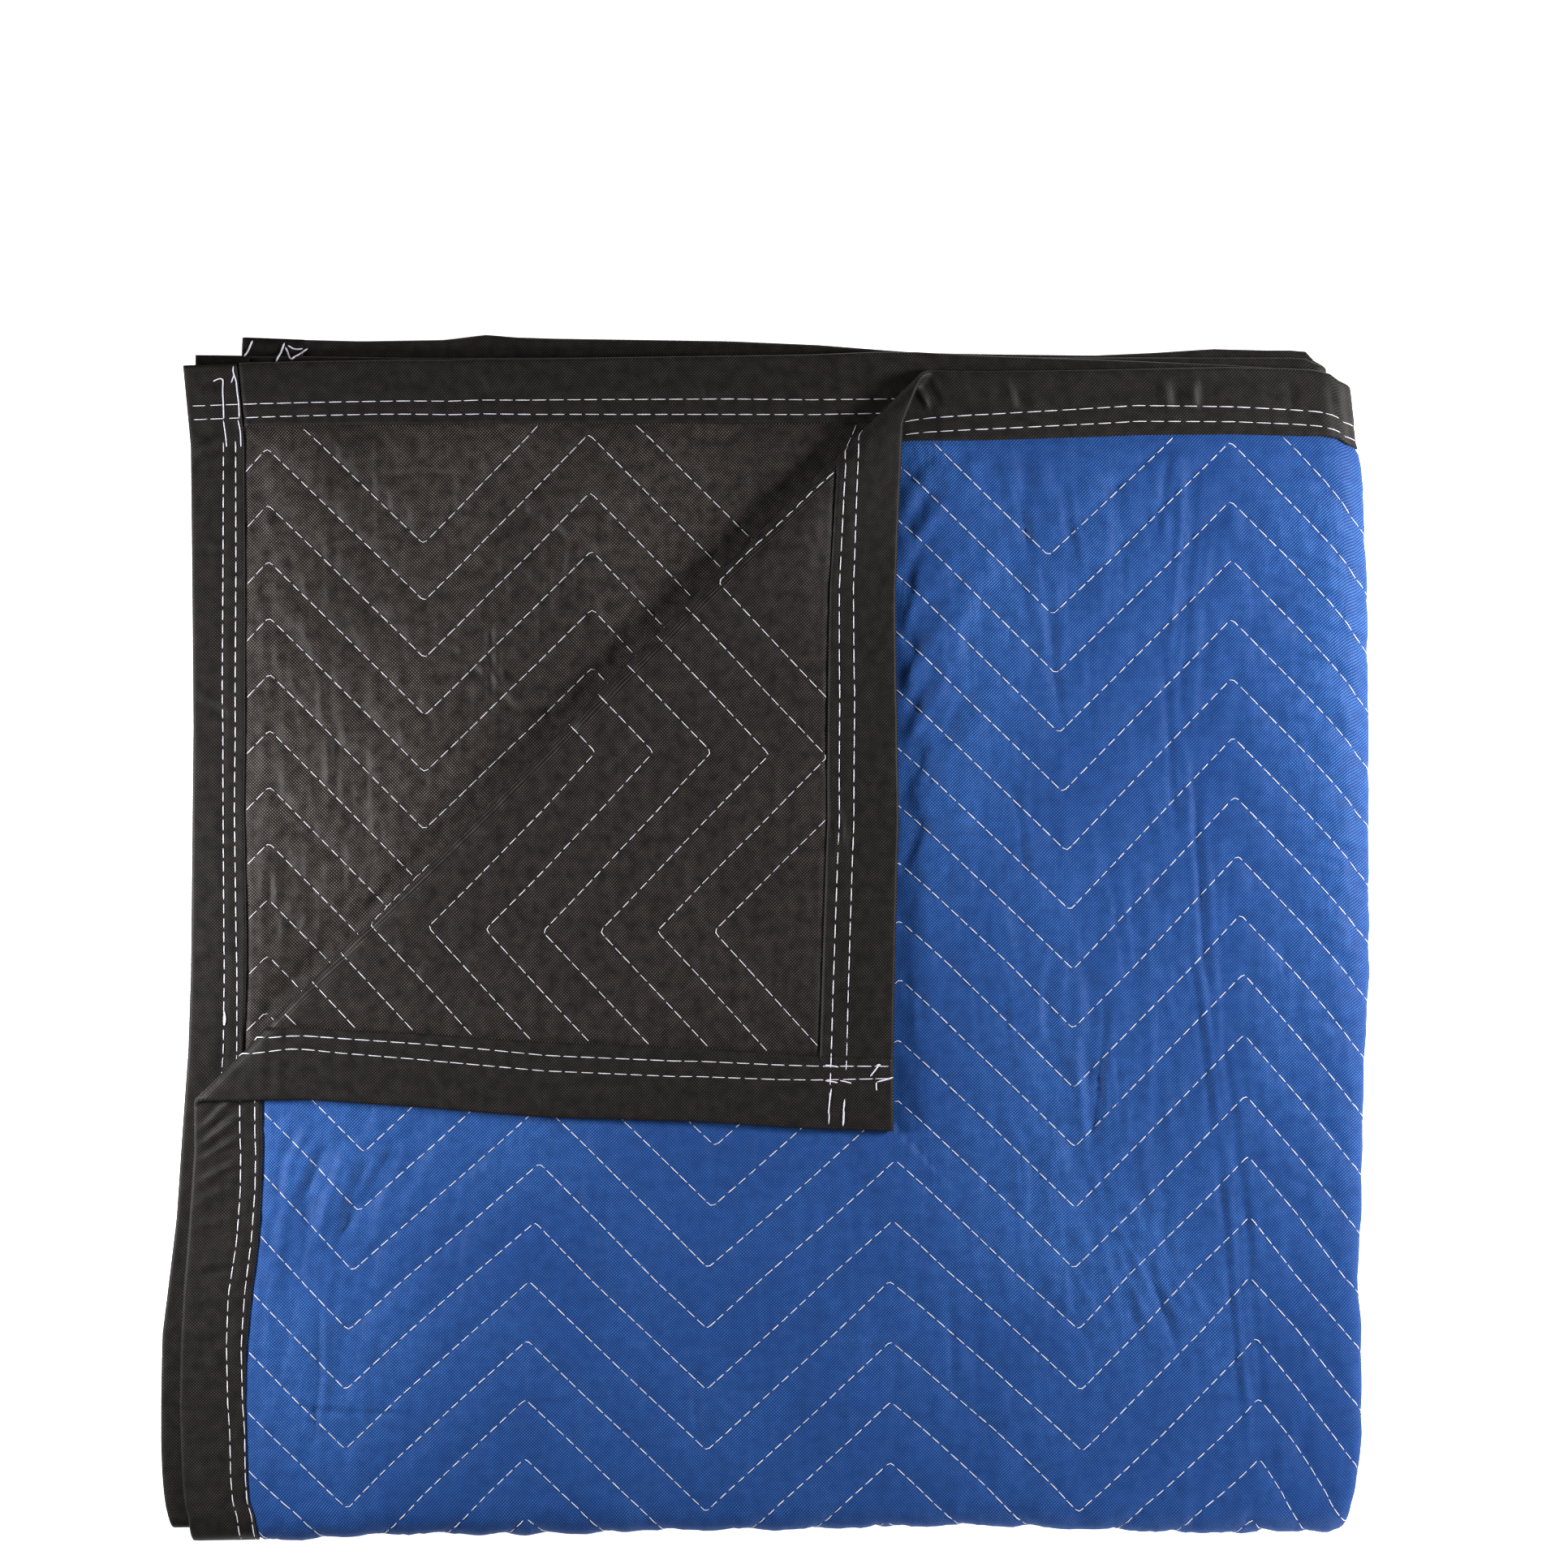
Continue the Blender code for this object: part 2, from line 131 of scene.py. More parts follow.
# Each turn of the zig-zag quilting: its place across at the bottom fold and at the end, how far it
# bows between them, and how far along seams 0, 5 and 15 turn there
quiltingTurns = table(
    "low high bow first sixth last",
    (-905, -890, 0, 195, 430, 889),
    (-780, -757, 0, 59, 296, 754),
    (-641, -623, 0, 191, 426, 889),
    (-500, -498, 0, 52, 295, 754),
    (-358, -360, 0, 184, 422, 885),
    (-208, -244, 0, 50, 289, 754),
    (-72, -91, -15, 190, 427, 888),
    (27, 27, 0, 55, 292, 754),
    (143, 143, 0, 192, 428, 888),
    (261, 261, 0, 60, 298, 756),
    (378, 378, 0, 198, 430, 888),
    (496, 450, 0, 48, 278, 730),
    (609, 609, 0, 207, 434, 886),
    (739, 739, 0, 93, 314, 757),
    (859, 859, 0, 224, 442, 877),
    (983, 983, 0, 110, 320, 745),
)
# Each tape: the edge it is on, how far its two rows of stitches lie from that edge, and how wide
# its plies are on the blue and on the black face
tapes = {
    "over_end": {
        "edge": "end", "side": 1,
        "line": table(
            "run outer inner blue black",
            (-905, 40.7, 52.5, 52, 59), (-850, 37.7, 50.1, 52, 59), (-665, 36.0, 47.6, 52, 57),
            (-573, 35.3, 47.6, 53, 57), (-479, 38.3, 50.4, 54, 58), (-393, 42.0, 53.0, 56, 60),
            (-337, 39.2, 50.0, 56, 59), (-287, 34.8, 46.3, 55, 56), (-163, 28.7, 41.1, 52, 53),
            (-40, 32.7, 43.9, 53, 52), (0, 33.5, 45.0, 51, 51), (366, 36.5, 47.5, 52, 54),
            (482, 33.7, 45.7, 51, 53), (608, 32.5, 43.8, 51, 51), (759, 32.0, 42.0, 51, 50.5),
            (905, 32.1, 42.7, 51, 49),
        ),
    },
    "under_end": {
        "edge": "end", "side": -1,
        "line": table(
            "run outer inner blue black",
            (-905, 33.0, 45.0, 51, 51), (-400, 35.0, 46.0, 52, 51), (0, 34.0, 45.0, 51, 51),
            (500, 33.0, 44.0, 51, 52), (905, 34.0, 45.0, 51, 51),
        ),
    },
    "outer_side": {
        "edge": "side", "side": -1,
        "line": table(
            "run outer inner blue black",
            (-900, 36.0, 47.0, 52, 52), (-400, 37.0, 48.5, 53, 52), (0, 39.0, 50.5, 53, 52),
            (23, 37.5, 48.6, 50, 52), (77, 38.0, 49.5, 50.5, 52), (142, 35.4, 46.7, 50.5, 52),
            (184, 35.0, 47.5, 53, 53), (227, 38.1, 49.4, 55, 54), (270, 38.2, 49.6, 54.5, 54),
            (313, 35.9, 47.6, 53.3, 54), (378, 35.5, 47.0, 53, 55), (417, 39.5, 49.5, 53, 56),
            (457, 37.9, 49.2, 53, 56), (562, 36.2, 48.6, 53, 57), (634, 35.2, 46.9, 53, 57.5),
            (724, 33.9, 45.6, 53, 56), (808, 35.7, 46.7, 53, 55), (900, 40.0, 49.2, 53, 55.5),
        ),
    },
    "inner_side": {
        "edge": "side", "side": 1, "sewnTo": 842,
        "line": table(
            "run outer inner blue black",
            (-900, 26.0, 36.0, 44, 44), (0, 26.0, 36.0, 44, 44), (366, 27.5, 38.1, 43, 43.5),
            (460, 25.5, 34.9, 43, 43), (554, 23.9, 32.6, 43, 40.2), (648, 22.8, 32.8, 43, 40.4),
            (742, 24.2, 34.2, 43, 41.1), (842, 25.8, 35.2, 43, 41.8), (900, 25.8, 35.2, 43, 42),
        ),
    },
}
tape = {"thick": 1.0, "gap": 0.3, "shoulder": 4.0, "tuck": 0.85, "tuckEase": 7.0, "rimEase": 2.0}
tongue = halfLoft - tape["thick"] - tape["gap"]
tapeRadius = halfLoft - tape["thick"] / 2
halfTurn = tapeRadius * math.pi / 2
halfStep = layerStep / 2
firstTurn = halfStep * math.pi / 2
secondTurn = layerStep * math.pi / 2
midHeight = layerStep + halfStep + halfLoft


farOff = 3000.0  # a distance past every edge of the cloth


def roundFold(radius, flatHalf, topSide):
    # distance over the outside of a fold, against the flat cloth
    turns = np.linspace(-math.pi / 2, math.pi / 2, 25)
    speed = radius * np.hypot(nose * np.sin(turns), np.cos(turns))
    outside = np.concatenate([[0], np.cumsum((speed[1:] + speed[:-1]) / 2 * np.diff(turns))])
    outside = outside - outside[0 if topSide < 0 else -1] + topSide * flatHalf
    flat = turns / (math.pi / 2) * flatHalf
    far = farOff - flatHalf
    return (
        np.concatenate([[-farOff], flat, [farOff]]),
        np.concatenate([[outside[0] - far], outside, [outside[-1] + far]]),
    )


sideFold = roundFold(halfStep + halfLoft, firstTurn, -1)
bottomFold = roundFold(layerStep + halfStep + halfLoft, secondTurn, 1)


def sewnPlace(across, along):
    # a point of the flat cloth in the quilting's own measure, which is true round the folds
    return np.interp(across, *sideFold), np.interp(along, *bottomFold)


def clothPlace(across, along):
    return np.interp(across, *sideFold[::-1]), np.interp(along, *bottomFold[::-1])


noiseCells = 64  # the noise comes round again after this many lumps


def softNoise(u, v, seed):
    # smooth lumps from -1 to 1, one to each unit square
    heights = np.random.default_rng(seed).uniform(-1, 1, (noiseCells, noiseCells))
    column, row = np.floor(u).astype(int), np.floor(v).astype(int)
    shareU, shareV = eased(u - column), eased(v - row)
    left, right = column % noiseCells, (column + 1) % noiseCells
    near, far = (
        heights[left, line % noiseCells] * (1 - shareU) + heights[right, line % noiseCells] * shareU
        for line in (row, row + 1)
    )
    return near * (1 - shareV) + far * shareV


def ripples(x, y, degrees, wide, long, seed):
    # long lumps that run at an angle from the x axis
    turn = math.radians(degrees)
    u = (x * math.cos(turn) + y * math.sin(turn)) / long
    v = (y * math.cos(turn) - x * math.sin(turn)) / wide
    return softNoise(u, v, seed)


def layerEdge(across, along, edges, measure, distance):
    # where the edge of each point's own layer is
    floor, second, third, top = (
        np.interp(distance, edges[measure], edges[layer])
        for layer in ("floor", "second", "third", "top")
    )
    return np.where(along < 0, np.where(across < 0, floor, second), np.where(across < 0, top, third))


# How far the end tape of the turned corner is drawn in beside the crease, by distance from the
# side fold
drawnIn = table(
    "inset shift",
    (322, 0), (366, 12.0), (407, 9.5), (432, 8.4), (494, 5.6), (588, 1.6), (650, 0),
)


def laidFlat(across, along, rise):
    # the folded cloth before its corner is turned back
    share = (along - halfLength + cloth["drawnWide"]) / cloth["drawnWide"]
    shift = np.where(across < 0, np.interp(-across, drawnIn["inset"], drawnIn["shift"]), 0)
    along = along - shift * np.maximum(0, share) ** 1.3
    inset, height = np.abs(across), np.abs(along)
    lower = np.interp(height, sideways["height"], sideways["lowerFold"])
    upper = np.interp(height, sideways["height"], sideways["upperFold"])
    turn = np.clip(across / halfStep, -math.pi / 2, math.pi / 2)
    radius = halfStep + rise
    offset = -radius * np.sin(turn)
    right = np.where(along >= 0, upper, lower) - nose * (halfStep + halfLoft)
    left = layerEdge(across, along, sideways, "height", height)
    inward = np.maximum(0, inset - firstTurn) / (halfWidth - firstTurn)
    x = right + nose * radius * np.cos(turn) + (left - right) * inward

    turn = np.clip(along / layerStep, -math.pi / 2, math.pi / 2)
    radius = layerStep + offset
    bottom = np.interp(inset, lengthwise["inset"], lengthwise["bottomFold"]) + nose * midHeight
    end = layerEdge(across, along, lengthwise, "inset", inset)
    upward = np.maximum(0, height - secondTurn) / (halfLength - secondTurn)
    y = bottom - nose * radius * np.cos(turn) + (end - bottom) * upward
    z = midHeight + radius * np.sin(turn)
    overhang = np.where(along > 0, np.maximum(0, x - lower + cloth["droopStart"]), 0)
    z = z - cloth["droop"] * overhang**2 * eased(height / cloth["droopEase"])
    return x, y, z


def rollPlace(x, y):
    # how far a point is past the start of the roll, its place along the roll, and where the roll is
    run = (x + y) / math.sqrt(2)
    radius = np.interp(run, roll["run"], roll["radius"])
    start = cloth["creaseReach"] - halfLoft - radius
    return (y - x) / math.sqrt(2) - start, run, start, radius


def beforeRoll(across, along):
    # a point's place before the corner is turned back, and then all of rollPlace
    x, y, _ = laidFlat(across, along, 0.0)
    return x, y, *rollPlace(x, y)


def turnedBack(turned, run, out, x, y):
    # moves the points of the corner to where they lie once it is turned back
    return (
        np.where(turned, (run - out) / math.sqrt(2), x),
        np.where(turned, (run + out) / math.sqrt(2), y),
    )


def folded(across, along, rise):
    # place of a point of the flat cloth in the folded one, in metres
    across, along, rise = np.broadcast_arrays(
        np.asarray(across, float), np.asarray(along, float), np.asarray(rise, float)
    )
    x, y, z = laidFlat(across, along, rise)
    past, run, start, radius = rollPlace(x, y)
    past = np.where(isTop(across, along), past, -1.0)
    turn = np.clip(past / radius, 0, math.pi)
    beyond = np.maximum(0, past - math.pi * radius)
    inner = radius - rise
    out = start + inner * np.sin(turn) - beyond
    settled = 1 - bell(beyond, cloth["settle"])
    rolled = past > 0
    z = np.where(
        rolled,
        z + radius - inner * np.cos(turn) - rise - (2 * radius - layerStep) * settled,
        z,
    )
    return settledIn(*turnedBack(rolled, run, out, x, y), z) * 0.001


# Lumps of the whole stack: width, height, shifts and seed, and the height that has them in full
billow = {"lumps": ((190.0, 0.9, 7.3, 3.1, 11), (75.0, 0.45, 1.7, 0.0, 12)), "fullHeight": 22.0}


def settledIn(x, y, z):
    # the whole stack lies a little unevenly, most of all on top
    lift = sum(
        high * softNoise(x / wide + shiftX, y / wide + shiftY, seed)
        for wide, high, shiftX, shiftY, seed in billow["lumps"]
    )
    return np.stack([x, y, z + lift * eased(z / billow["fullHeight"])], axis=-1)


def isTop(across, along):
    # the quarter that lies on top, with the turned corner
    return (across < 0) & (along >= 0)


def onFloor(across, along, past=0):
    # the quarter whose blue face lies on the floor, from so far past the bottom fold
    return (across < 0) & (along < -past)


def turnPlaces(turn, along):
    # where each seam turns for the nth time
    share = np.abs(along) / halfLength
    low, high, bow = (quiltingTurns[name][turn] for name in ("low", "high", "bow"))
    bow = 6.75 * bow * share**2 * (1 - share)  # as much as the table says where it bows most
    return low + (high - low) * share + bow


rounding = (-1.6, 0.0, 1.6)  # a seam's corners are rounded over this length
sixthSeam, lastSeam = 5, 15
seams = range(-24, lastSeam + 1)  # all of them, from the hidden end to the turned corner


def seamNumber(across, along):
    # which seam passes a point, with the share of the way to the next one
    across, along = sewnPlace(across, along)
    total = np.zeros(np.shape(across))
    for shift in rounding:
        place = across + shift
        first, sixth, last = (np.zeros(np.shape(across)) for _ in range(3))
        for turn in range(len(quiltingTurns["low"]) - 1):
            low, high = turnPlaces(turn, along), turnPlaces(turn + 1, along)
            here = (place >= low) & (place < high) if turn else place < high
            share = np.clip((place - low) / (high - low), 0, 1)
            for values, name in ((first, "first"), (sixth, "sixth"), (last, "last")):
                start, end = quiltingTurns[name][turn : turn + 2]
                values[here] = (start + (end - start) * share)[here]
        early, late = (sixth - first) / sixthSeam, (last - sixth) / (lastSeam - sixthSeam)
        total += sixthSeam + (along - sixth) / np.where(along < sixth, early, late)
    return total / len(rounding)


def seamPath(number):
    # one seam from side to side, as points 1 mm apart across
    turnAcross, turnAlong = [], []
    for turn in range(len(quiltingTurns["low"])):
        first, sixth, last = (quiltingTurns[name][turn] for name in ("first", "sixth", "last"))
        if number < sixthSeam:
            along = sixth + (sixth - first) * (number - sixthSeam) / sixthSeam
        else:
            along = sixth + (last - sixth) * (number - sixthSeam) / (lastSeam - sixthSeam)
        turnAlong.append(along)
        turnAcross.append(turnPlaces(turn, along))
    across = np.arange(-halfWidth, halfWidth + 20)
    along = sum(np.interp(across + shift, turnAcross, turnAlong) for shift in rounding) / len(rounding)
    return np.stack(clothPlace(across, along), axis=-1)


def plyWidth(name, run, face):
    # how far the tape reaches over a face of the cloth
    line = tapes[name]["line"]
    return np.interp(run, line["run"], line["blue" if face > 0 else "black"])


def sidePly(across, along, face):
    return np.where(across < 0, plyWidth("outer_side", along, face), plyWidth("inner_side", along, face))


def endPly(across, along, face):
    return np.where(along < 0, plyWidth("under_end", across, face), plyWidth("over_end", across, face))


def insideTape(across, along, face):
    # distance from the nearest tape to a point of the cloth, minus under the tape
    return np.minimum(
        halfWidth - sidePly(across, along, face) - np.abs(across),
        halfLength - endPly(across, along, face) - np.abs(along),
    )


def tapePlace(name, run, inset):
    # a point of a tape, by its distances along and in from the cloth's edge, on the flat cloth
    side = tapes[name]["side"]
    if tapes[name]["edge"] == "end":
        return run, side * (halfLength - inset)
    return side * (halfWidth - inset), run


def clearOfFlap(x, y):
    # distance from the turned corner's outline, minus beneath it
    bottom = cloth["flapBottom"] + cloth["flapSlope"] * (cloth["flapRight"] - x)
    return x - cloth["flapRight"], bottom - y


covered = -99.0  # well under a layer
# How far each goes on in full under the layer above, and on the floor past the bottom fold
underLayer = {"cloth": 8, "seam": 6, "tape": 10}
pastFold = {"stitches": 3, "relief": 8, "mesh": 14}
underside = 60.0  # the blue face underneath counts as this far in the open
foldShows = {"upper": 14.0, "lower": 8.0}  # how far past the right fold its layers still show


def openBy(across, along, face):
    # how far out in the open a point of a face lies, minus where a layer above covers it
    x, y, past, *_ = beforeRoll(across, along)
    if face > 0:
        top = np.maximum(*clearOfFlap(x, y))
        shown = np.where(isTop(across, along), np.where(past > 0, -past, top), covered)
        aroundFold = np.where(along >= 0, foldShows["upper"], foldShows["lower"]) - np.abs(across)
        shown = np.maximum(shown, np.where(across >= 0, aroundFold, covered))
        return np.where(onFloor(across, along), underside, shown)
    turned = np.where(isTop(across, along), past, covered)
    revealed = (y - x) / math.sqrt(2) - cloth["creaseReach"]
    return np.where((across >= 0) & (along >= 0), revealed, turned)


print("cloth sizes ready")

# Where each face is rippled, in mm on the folded blanket: middle, reach, direction, and the width,
# length and height of a ripple
rippled = {
    "blue": table(
        "x y reachX reachY degrees wide long high",
        (132, 235, 52, 190, 62, 13, 55, 0.85),
        (-335, -172, 75, 62, 64, 11, 48, 1.0),
        (-345, -300, 100, 130, 84, 12, 85, 0.55),
        (425, 250, 60, 140, -14, 8, 44, 0.6),
        (430, 20, 55, 210, 4, 9, 34, 0.5),
        (240, -110, 120, 220, 96, 8, 70, 0.5),
        (286, -275, 80, 75, 112, 8, 48, 0.5),
        (218, 316, 100, 110, 96, 9, 60, 0.5),
        (-58, -345, 240, 90, 90, 12, 60, 0.28),
        (-183, -165, 100, 50, 78, 12, 50, 0.45),
        (60, -180, 160, 60, 92, 10, 60, 0.3),
    ),
    "flap": table(
        "x y reachX reachY degrees wide long high",
        (-240, -30, 90, 80, 50, 13, 36, 0.4),
        (40, 330, 60, 70, 75, 10, 50, 0.3),
        (-60, 57, 180, 22, 2, 9, 130, 0.3),
        (-130, 100, 120, 110, 62, 13, 40, 0.22),
        (-250, -75, 110, 30, 4, 8, 90, 0.25),
        (-200, 105, 95, 95, -46, 9, 38, 0.34),
        (-90, 215, 60, 60, -46, 9, 36, 0.25),
    ),
    "third": table(
        "x y reachX reachY degrees wide long high",
        (-330, 220, 100, 230, 68, 12, 26, 0.22),
        (-260, 330, 150, 80, 76, 12, 28, 0.2),
        (-335, 10, 90, 130, 56, 10, 22, 0.32),
        (-190, 230, 110, 120, -48, 9, 24, 0.2),
        (-100, 340, 140, 80, -50, 10, 28, 0.25),
    ),
}

# What both tables share: the gain that multiplies their heights, how far a line wanders, and the
# shape of a ripple or crease
ripple = {"gain": 3.6, "bend": 9, "bendWide": 60, "lump": 0.45, "crest": 1.5, "sharp": 2.5}
crease = {"gain": 3.0, "wobble": 0.8, "wobbleLong": 35, "dip": 0.45, "fade": 0.25}

# Main creases of each face: from x and y, to x and y, how far the middle bows to the left of that
# line, and the width and height (minus for a trough)
creases = {
    "blue": (
        (312, 384, 300, 300, 2, 2.6, -0.41), (322, 384, 309, 190, 3, 2.2, 0.39),
        (332, 372, 318, 150, 2, 2.6, -0.39), (345, 330, 330, 140, -2, 2.2, 0.28),
        (304, 230, 318, 60, 2, 2.8, -0.44), (318, 180, 333, -40, 3, 2.4, 0.41),
        (331, 130, 344, -60, -3, 2.8, -0.39), (338, 90, 352, -130, 2, 2.2, 0.28),
        (322, 20, 345, -170, 3, 2.6, -0.41), (335, -10, 358, -190, -2, 2.2, 0.39),
        (350, -60, 372, -260, 3, 2.8, -0.41), (345, -140, 366, -400, 3, 2.8, -0.44),
        (356, -150, 377, -420, -2, 2.4, 0.39), (366, -160, 385, -400, 2, 2.6, -0.33),
        (-345, -272, -349, -405, 3, 2.6, -0.5), (-338, -270, -342, -390, 2, 2.4, 0.33),
        (-376, -361, -262, -366, -3, 2.4, -0.33), (-300, -285, -306, -400, -4, 3.0, 0.28),
        (-372, -205, -350, -140, 3, 4.0, 0.9), (-360, -225, -335, -150, 3, 4.5, -1.0),
        (-345, -235, -318, -150, 2, 4.0, 0.8), (-322, -232, -300, -165, 3, 4.5, -0.8),
        (-386, -250, -368, -200, 2, 3.5, -0.8), (-300, -240, -282, -170, 3, 4.0, 0.5),
        (110, 344, 136, 380, 3, 4.5, -0.5), (107, 306, 138, 356, 4, 5.5, -0.65),
        (116, 296, 146, 344, 4, 4.5, 0.55), (106, 262, 140, 322, 4, 5.5, -0.6),
        (116, 246, 152, 306, 3, 5.0, 0.5), (105, 214, 138, 272, 4, 5.5, -0.6),
        (114, 198, 148, 254, 3, 5.0, 0.5), (105, 160, 134, 214, 3, 5.5, -0.55),
        (112, 146, 142, 196, 3, 5.0, 0.4), (105, 104, 130, 152, 3, 5.0, -0.45),
        (104, 50, 126, 96, 3, 5.0, -0.35), (103, -6, 122, 34, 3, 4.5, -0.3),
        (205, 300, 214, 210, 3, 2.6, 0.45), (222, 250, 232, 150, -2, 2.6, -0.5),
        (190, 120, 202, 40, 2, 2.6, -0.45), (236, -60, 246, -190, 3, 2.6, 0.5),
        (262, -30, 250, -170, 3, 2.6, -0.5), (226, -200, 236, -300, -2, 2.6, 0.45),
        (290, -240, 322, -330, 2, 2.6, -0.55), (268, -230, 300, -300, -3, 2.4, 0.45),
        (398, 292, 448, 276, 3, 3.0, -0.5), (392, 262, 446, 240, 3, 3.2, 0.45),
        (396, 222, 450, 204, 3, 3.0, -0.5), (404, 168, 450, 160, -2, 3.0, -0.45),
        (410, 60, 452, 52, 2, 3.0, -0.45), (414, -60, 450, -72, 2, 3.0, -0.4),
        (396, -180, 440, -196, -3, 3.0, -0.4),
        (-140, -190, -128, -270, 2, 3.0, 0.4), (-60, -300, -52, -390, 2, 3.0, -0.35),
        (60, -200, 66, -290, 2, 3.0, 0.35), (140, -260, 146, -350, 2, 3.0, -0.35),
    ),
    "flap": (
        (-232, 64, 50, 60, 3, 3.0, -0.35), (-120, 48, 90, 44, -3, 2.6, 0.3),
        (-306, -20, -228, -32, 3, 2.6, -0.4), (-300, -34, -226, -40, 3, 2.4, 0.3),
        (30, 356, 58, 300, 3, 2.6, 0.4), (18, 340, 44, 290, 2, 2.6, -0.3),
        (-180, -30, 20, -52, 3, 3.0, -0.3), (58, 330, 62, 230, 2, 2.4, -0.3),
    ),
    "blueTape": (
        (-438, -151, -402, -119, 1, 2.2, 0.7), (-439, -163, -401, -136, 1, 2.4, 0.75),
        (-439, -176, -402, -153, 1, 2.2, 0.7), (-438, -157, -414, -137, 1, 1.5, -0.6),
        (-439, -170, -412, -150, 1, 1.5, -0.6), (-440, -192, -402, -172, 2, 2.6, 0.6),
        (-440, -204, -404, -192, 2, 2.6, 0.45),
        (-442, -210, -414, -216, 2, 2.2, -0.7), (-440, -222, -416, -219, 1, 2.2, 0.6),
        (-445, -262, -412, -256, 1, 2.4, -0.5), (-446, -330, -418, -338, 1, 2.6, -0.5),
        (111, 428, 128, 408, 2, 2.2, 0.9), (122, 432, 137, 410, -2, 2.6, -0.8),
        (182, 434, 190, 404, 2, 3.0, 0.8), (196, 436, 199, 404, 1, 3.0, -0.6),
        (306, 434, 308, 405, 2, 3.0, 0.8), (330, 433, 332, 406, -1, 3.0, 0.8),
        (318, 434, 320, 404, 1, 2.6, -0.6), (404, 430, 408, 404, 1, 2.6, -0.5),
    ),
    "blackTape": (
        (52, -42, 97, -40, 1, 2.2, -0.8), (52, -51, 97, -50, -1, 2.0, -0.8),
        (54, -46, 96, -45, 1, 2.2, 0.6), (54, 108, 60, 60, 1, 2.6, 0.6), (50, 104, 55, 62, 1, 2.4, -0.6),
        (60, 160, 96, 166, 2, 2.6, -0.4), (60, 260, 96, 254, 2, 2.6, 0.4),
        (-440, 367, -419, 381, 1, 1.8, -1.2), (-437, 374, -421, 387, 1, 1.8, 0.8),
        (-440, 292, -415, 300, 1, 2.4, -0.6), (-440, 180, -412, 172, 1, 2.4, -0.6),
        (-439, 60, -411, 70, 1, 2.6, 0.6), (-440, -20, -412, -14, 1, 2.4, -0.6),
        (-230, 438, -214, 412, 2, 3.0, -0.5), (-60, 436, -48, 412, 2, 3.0, 0.5),
        (-260, -112, -236, -134, 2, 3.0, -0.6), (-180, -112, -166, -140, 2, 3.0, 0.5),
        (-40, -116, -34, -144, 2, 3.0, -0.4),
    ),
    "third": (
        (-300, 357, -236, 358, 1, 1.6, -0.6), (-262, 232, -214, 194, 4, 3.4, -0.45),
        (-214, 194, -172, 166, -3, 3.4, -0.4), (-228, 214, -190, 176, 4, 3.0, 0.35),
        (-380, 92, -330, 60, 3, 4.0, -0.6), (-372, 30, -322, 14, 3, 4.0, -0.6),
        (-380, -30, -330, -44, 3, 3.6, -0.5), (-190, 330, -150, 300, 3, 4.0, -0.5),
        (-120, 352, -92, 318, 3, 4.0, 0.4), (-240, 90, -196, 62, 3, 4.0, -0.5),
    ),
}


def creased(x, y, rows, seed):
    total = np.zeros(np.shape(x))
    for number, (fromX, fromY, toX, toY, bow, width, height) in enumerate(rows):
        length = math.hypot(toX - fromX, toY - fromY)
        share = ((x - fromX) * (toX - fromX) + (y - fromY) * (toY - fromY)) / length**2
        away = ((y - fromY) * (toX - fromX) - (x - fromX) * (toY - fromY)) / length
        near = (share > 0) & (share < 1) & (np.abs(away) < abs(bow) + 5 * width)
        if not near.any():
            continue
        share, away = share[near], away[near]
        row = np.full(share.shape, number + 0.5)
        wobble = width * crease["wobble"] * softNoise(share * length / crease["wobbleLong"], row, seed)
        away = away - bow * 4 * share * (1 - share) - wobble
        shape = bell(away, width) - crease["dip"] * bell(away - 2 * width, 1.5 * width)
        shape = crease["gain"] * height * shape * eased(share / crease["fade"])
        total[near] += shape * eased((1 - share) / crease["fade"])
    return total


def nearby(x, y, middleX, middleY, reachX, reachY):
    return np.exp(-(((x - middleX) / reachX) ** 2) - ((y - middleY) / reachY) ** 2)


def rippling(x, y, rows, seed):
    total = np.zeros(np.shape(x))
    for number, (*patch, degrees, wide, long, high) in enumerate(zip(*rows.values())):
        bends = softNoise(x / ripple["bendWide"], y / ripple["bendWide"], seed + 60 + number)
        bends = ripple["bend"] * bends
        lump = ripples(x + bends, y + bends, degrees, wide, long, seed + number)
        crest = ripples(x - bends, y + bends, degrees, 1.6 * wide, long, seed + 30 + number)
        shape = ripple["lump"] * lump + ripple["crest"] * crest * (1 - np.abs(lump)) ** ripple["sharp"]
        total += ripple["gain"] * high * nearby(x, y, *patch) * shape
    return total


# The puffing and puckers of the blue face, of the turned corner ("flap") and of the black layer
# below it ("third"), and the lowest that each may go, so that no face comes through another
puff = {
    "blue": 1.6, "flap": 1.3, "third": 2.0, "reveal": 15.0, "underDip": 1.0,
    "bluePucker": 0.85, "flapPucker": 0.6, "thirdPucker": 2.7,
    "puckerLong": 8.0, "puckerPatch": 48, "puckerSharp": 0.8, "puckerLow": -0.42,
    "stitchHigh": 0.14, "stitchPitch": 10.0, "stitchWide": 0.07,
    "pressed": 4.0, "pressedWide": 40.0,  # the blue face sinks right of the turned corner
    "pressedBelow": 1.2, "pressedBelowWide": 14.0,  # and below it
    "foldFlat": 0.65, "foldFlatWide": 9.0,  # the share of its puffing that the right fold loses
    "sunk": 3.2, "sunkWide": 17.0,  # the layer below the turned corner sinks beside the roll
    "blueLow": -2.2, "pressedLow": -4.2, "flapLow": -2.0, "thirdLow": -3.4,
}
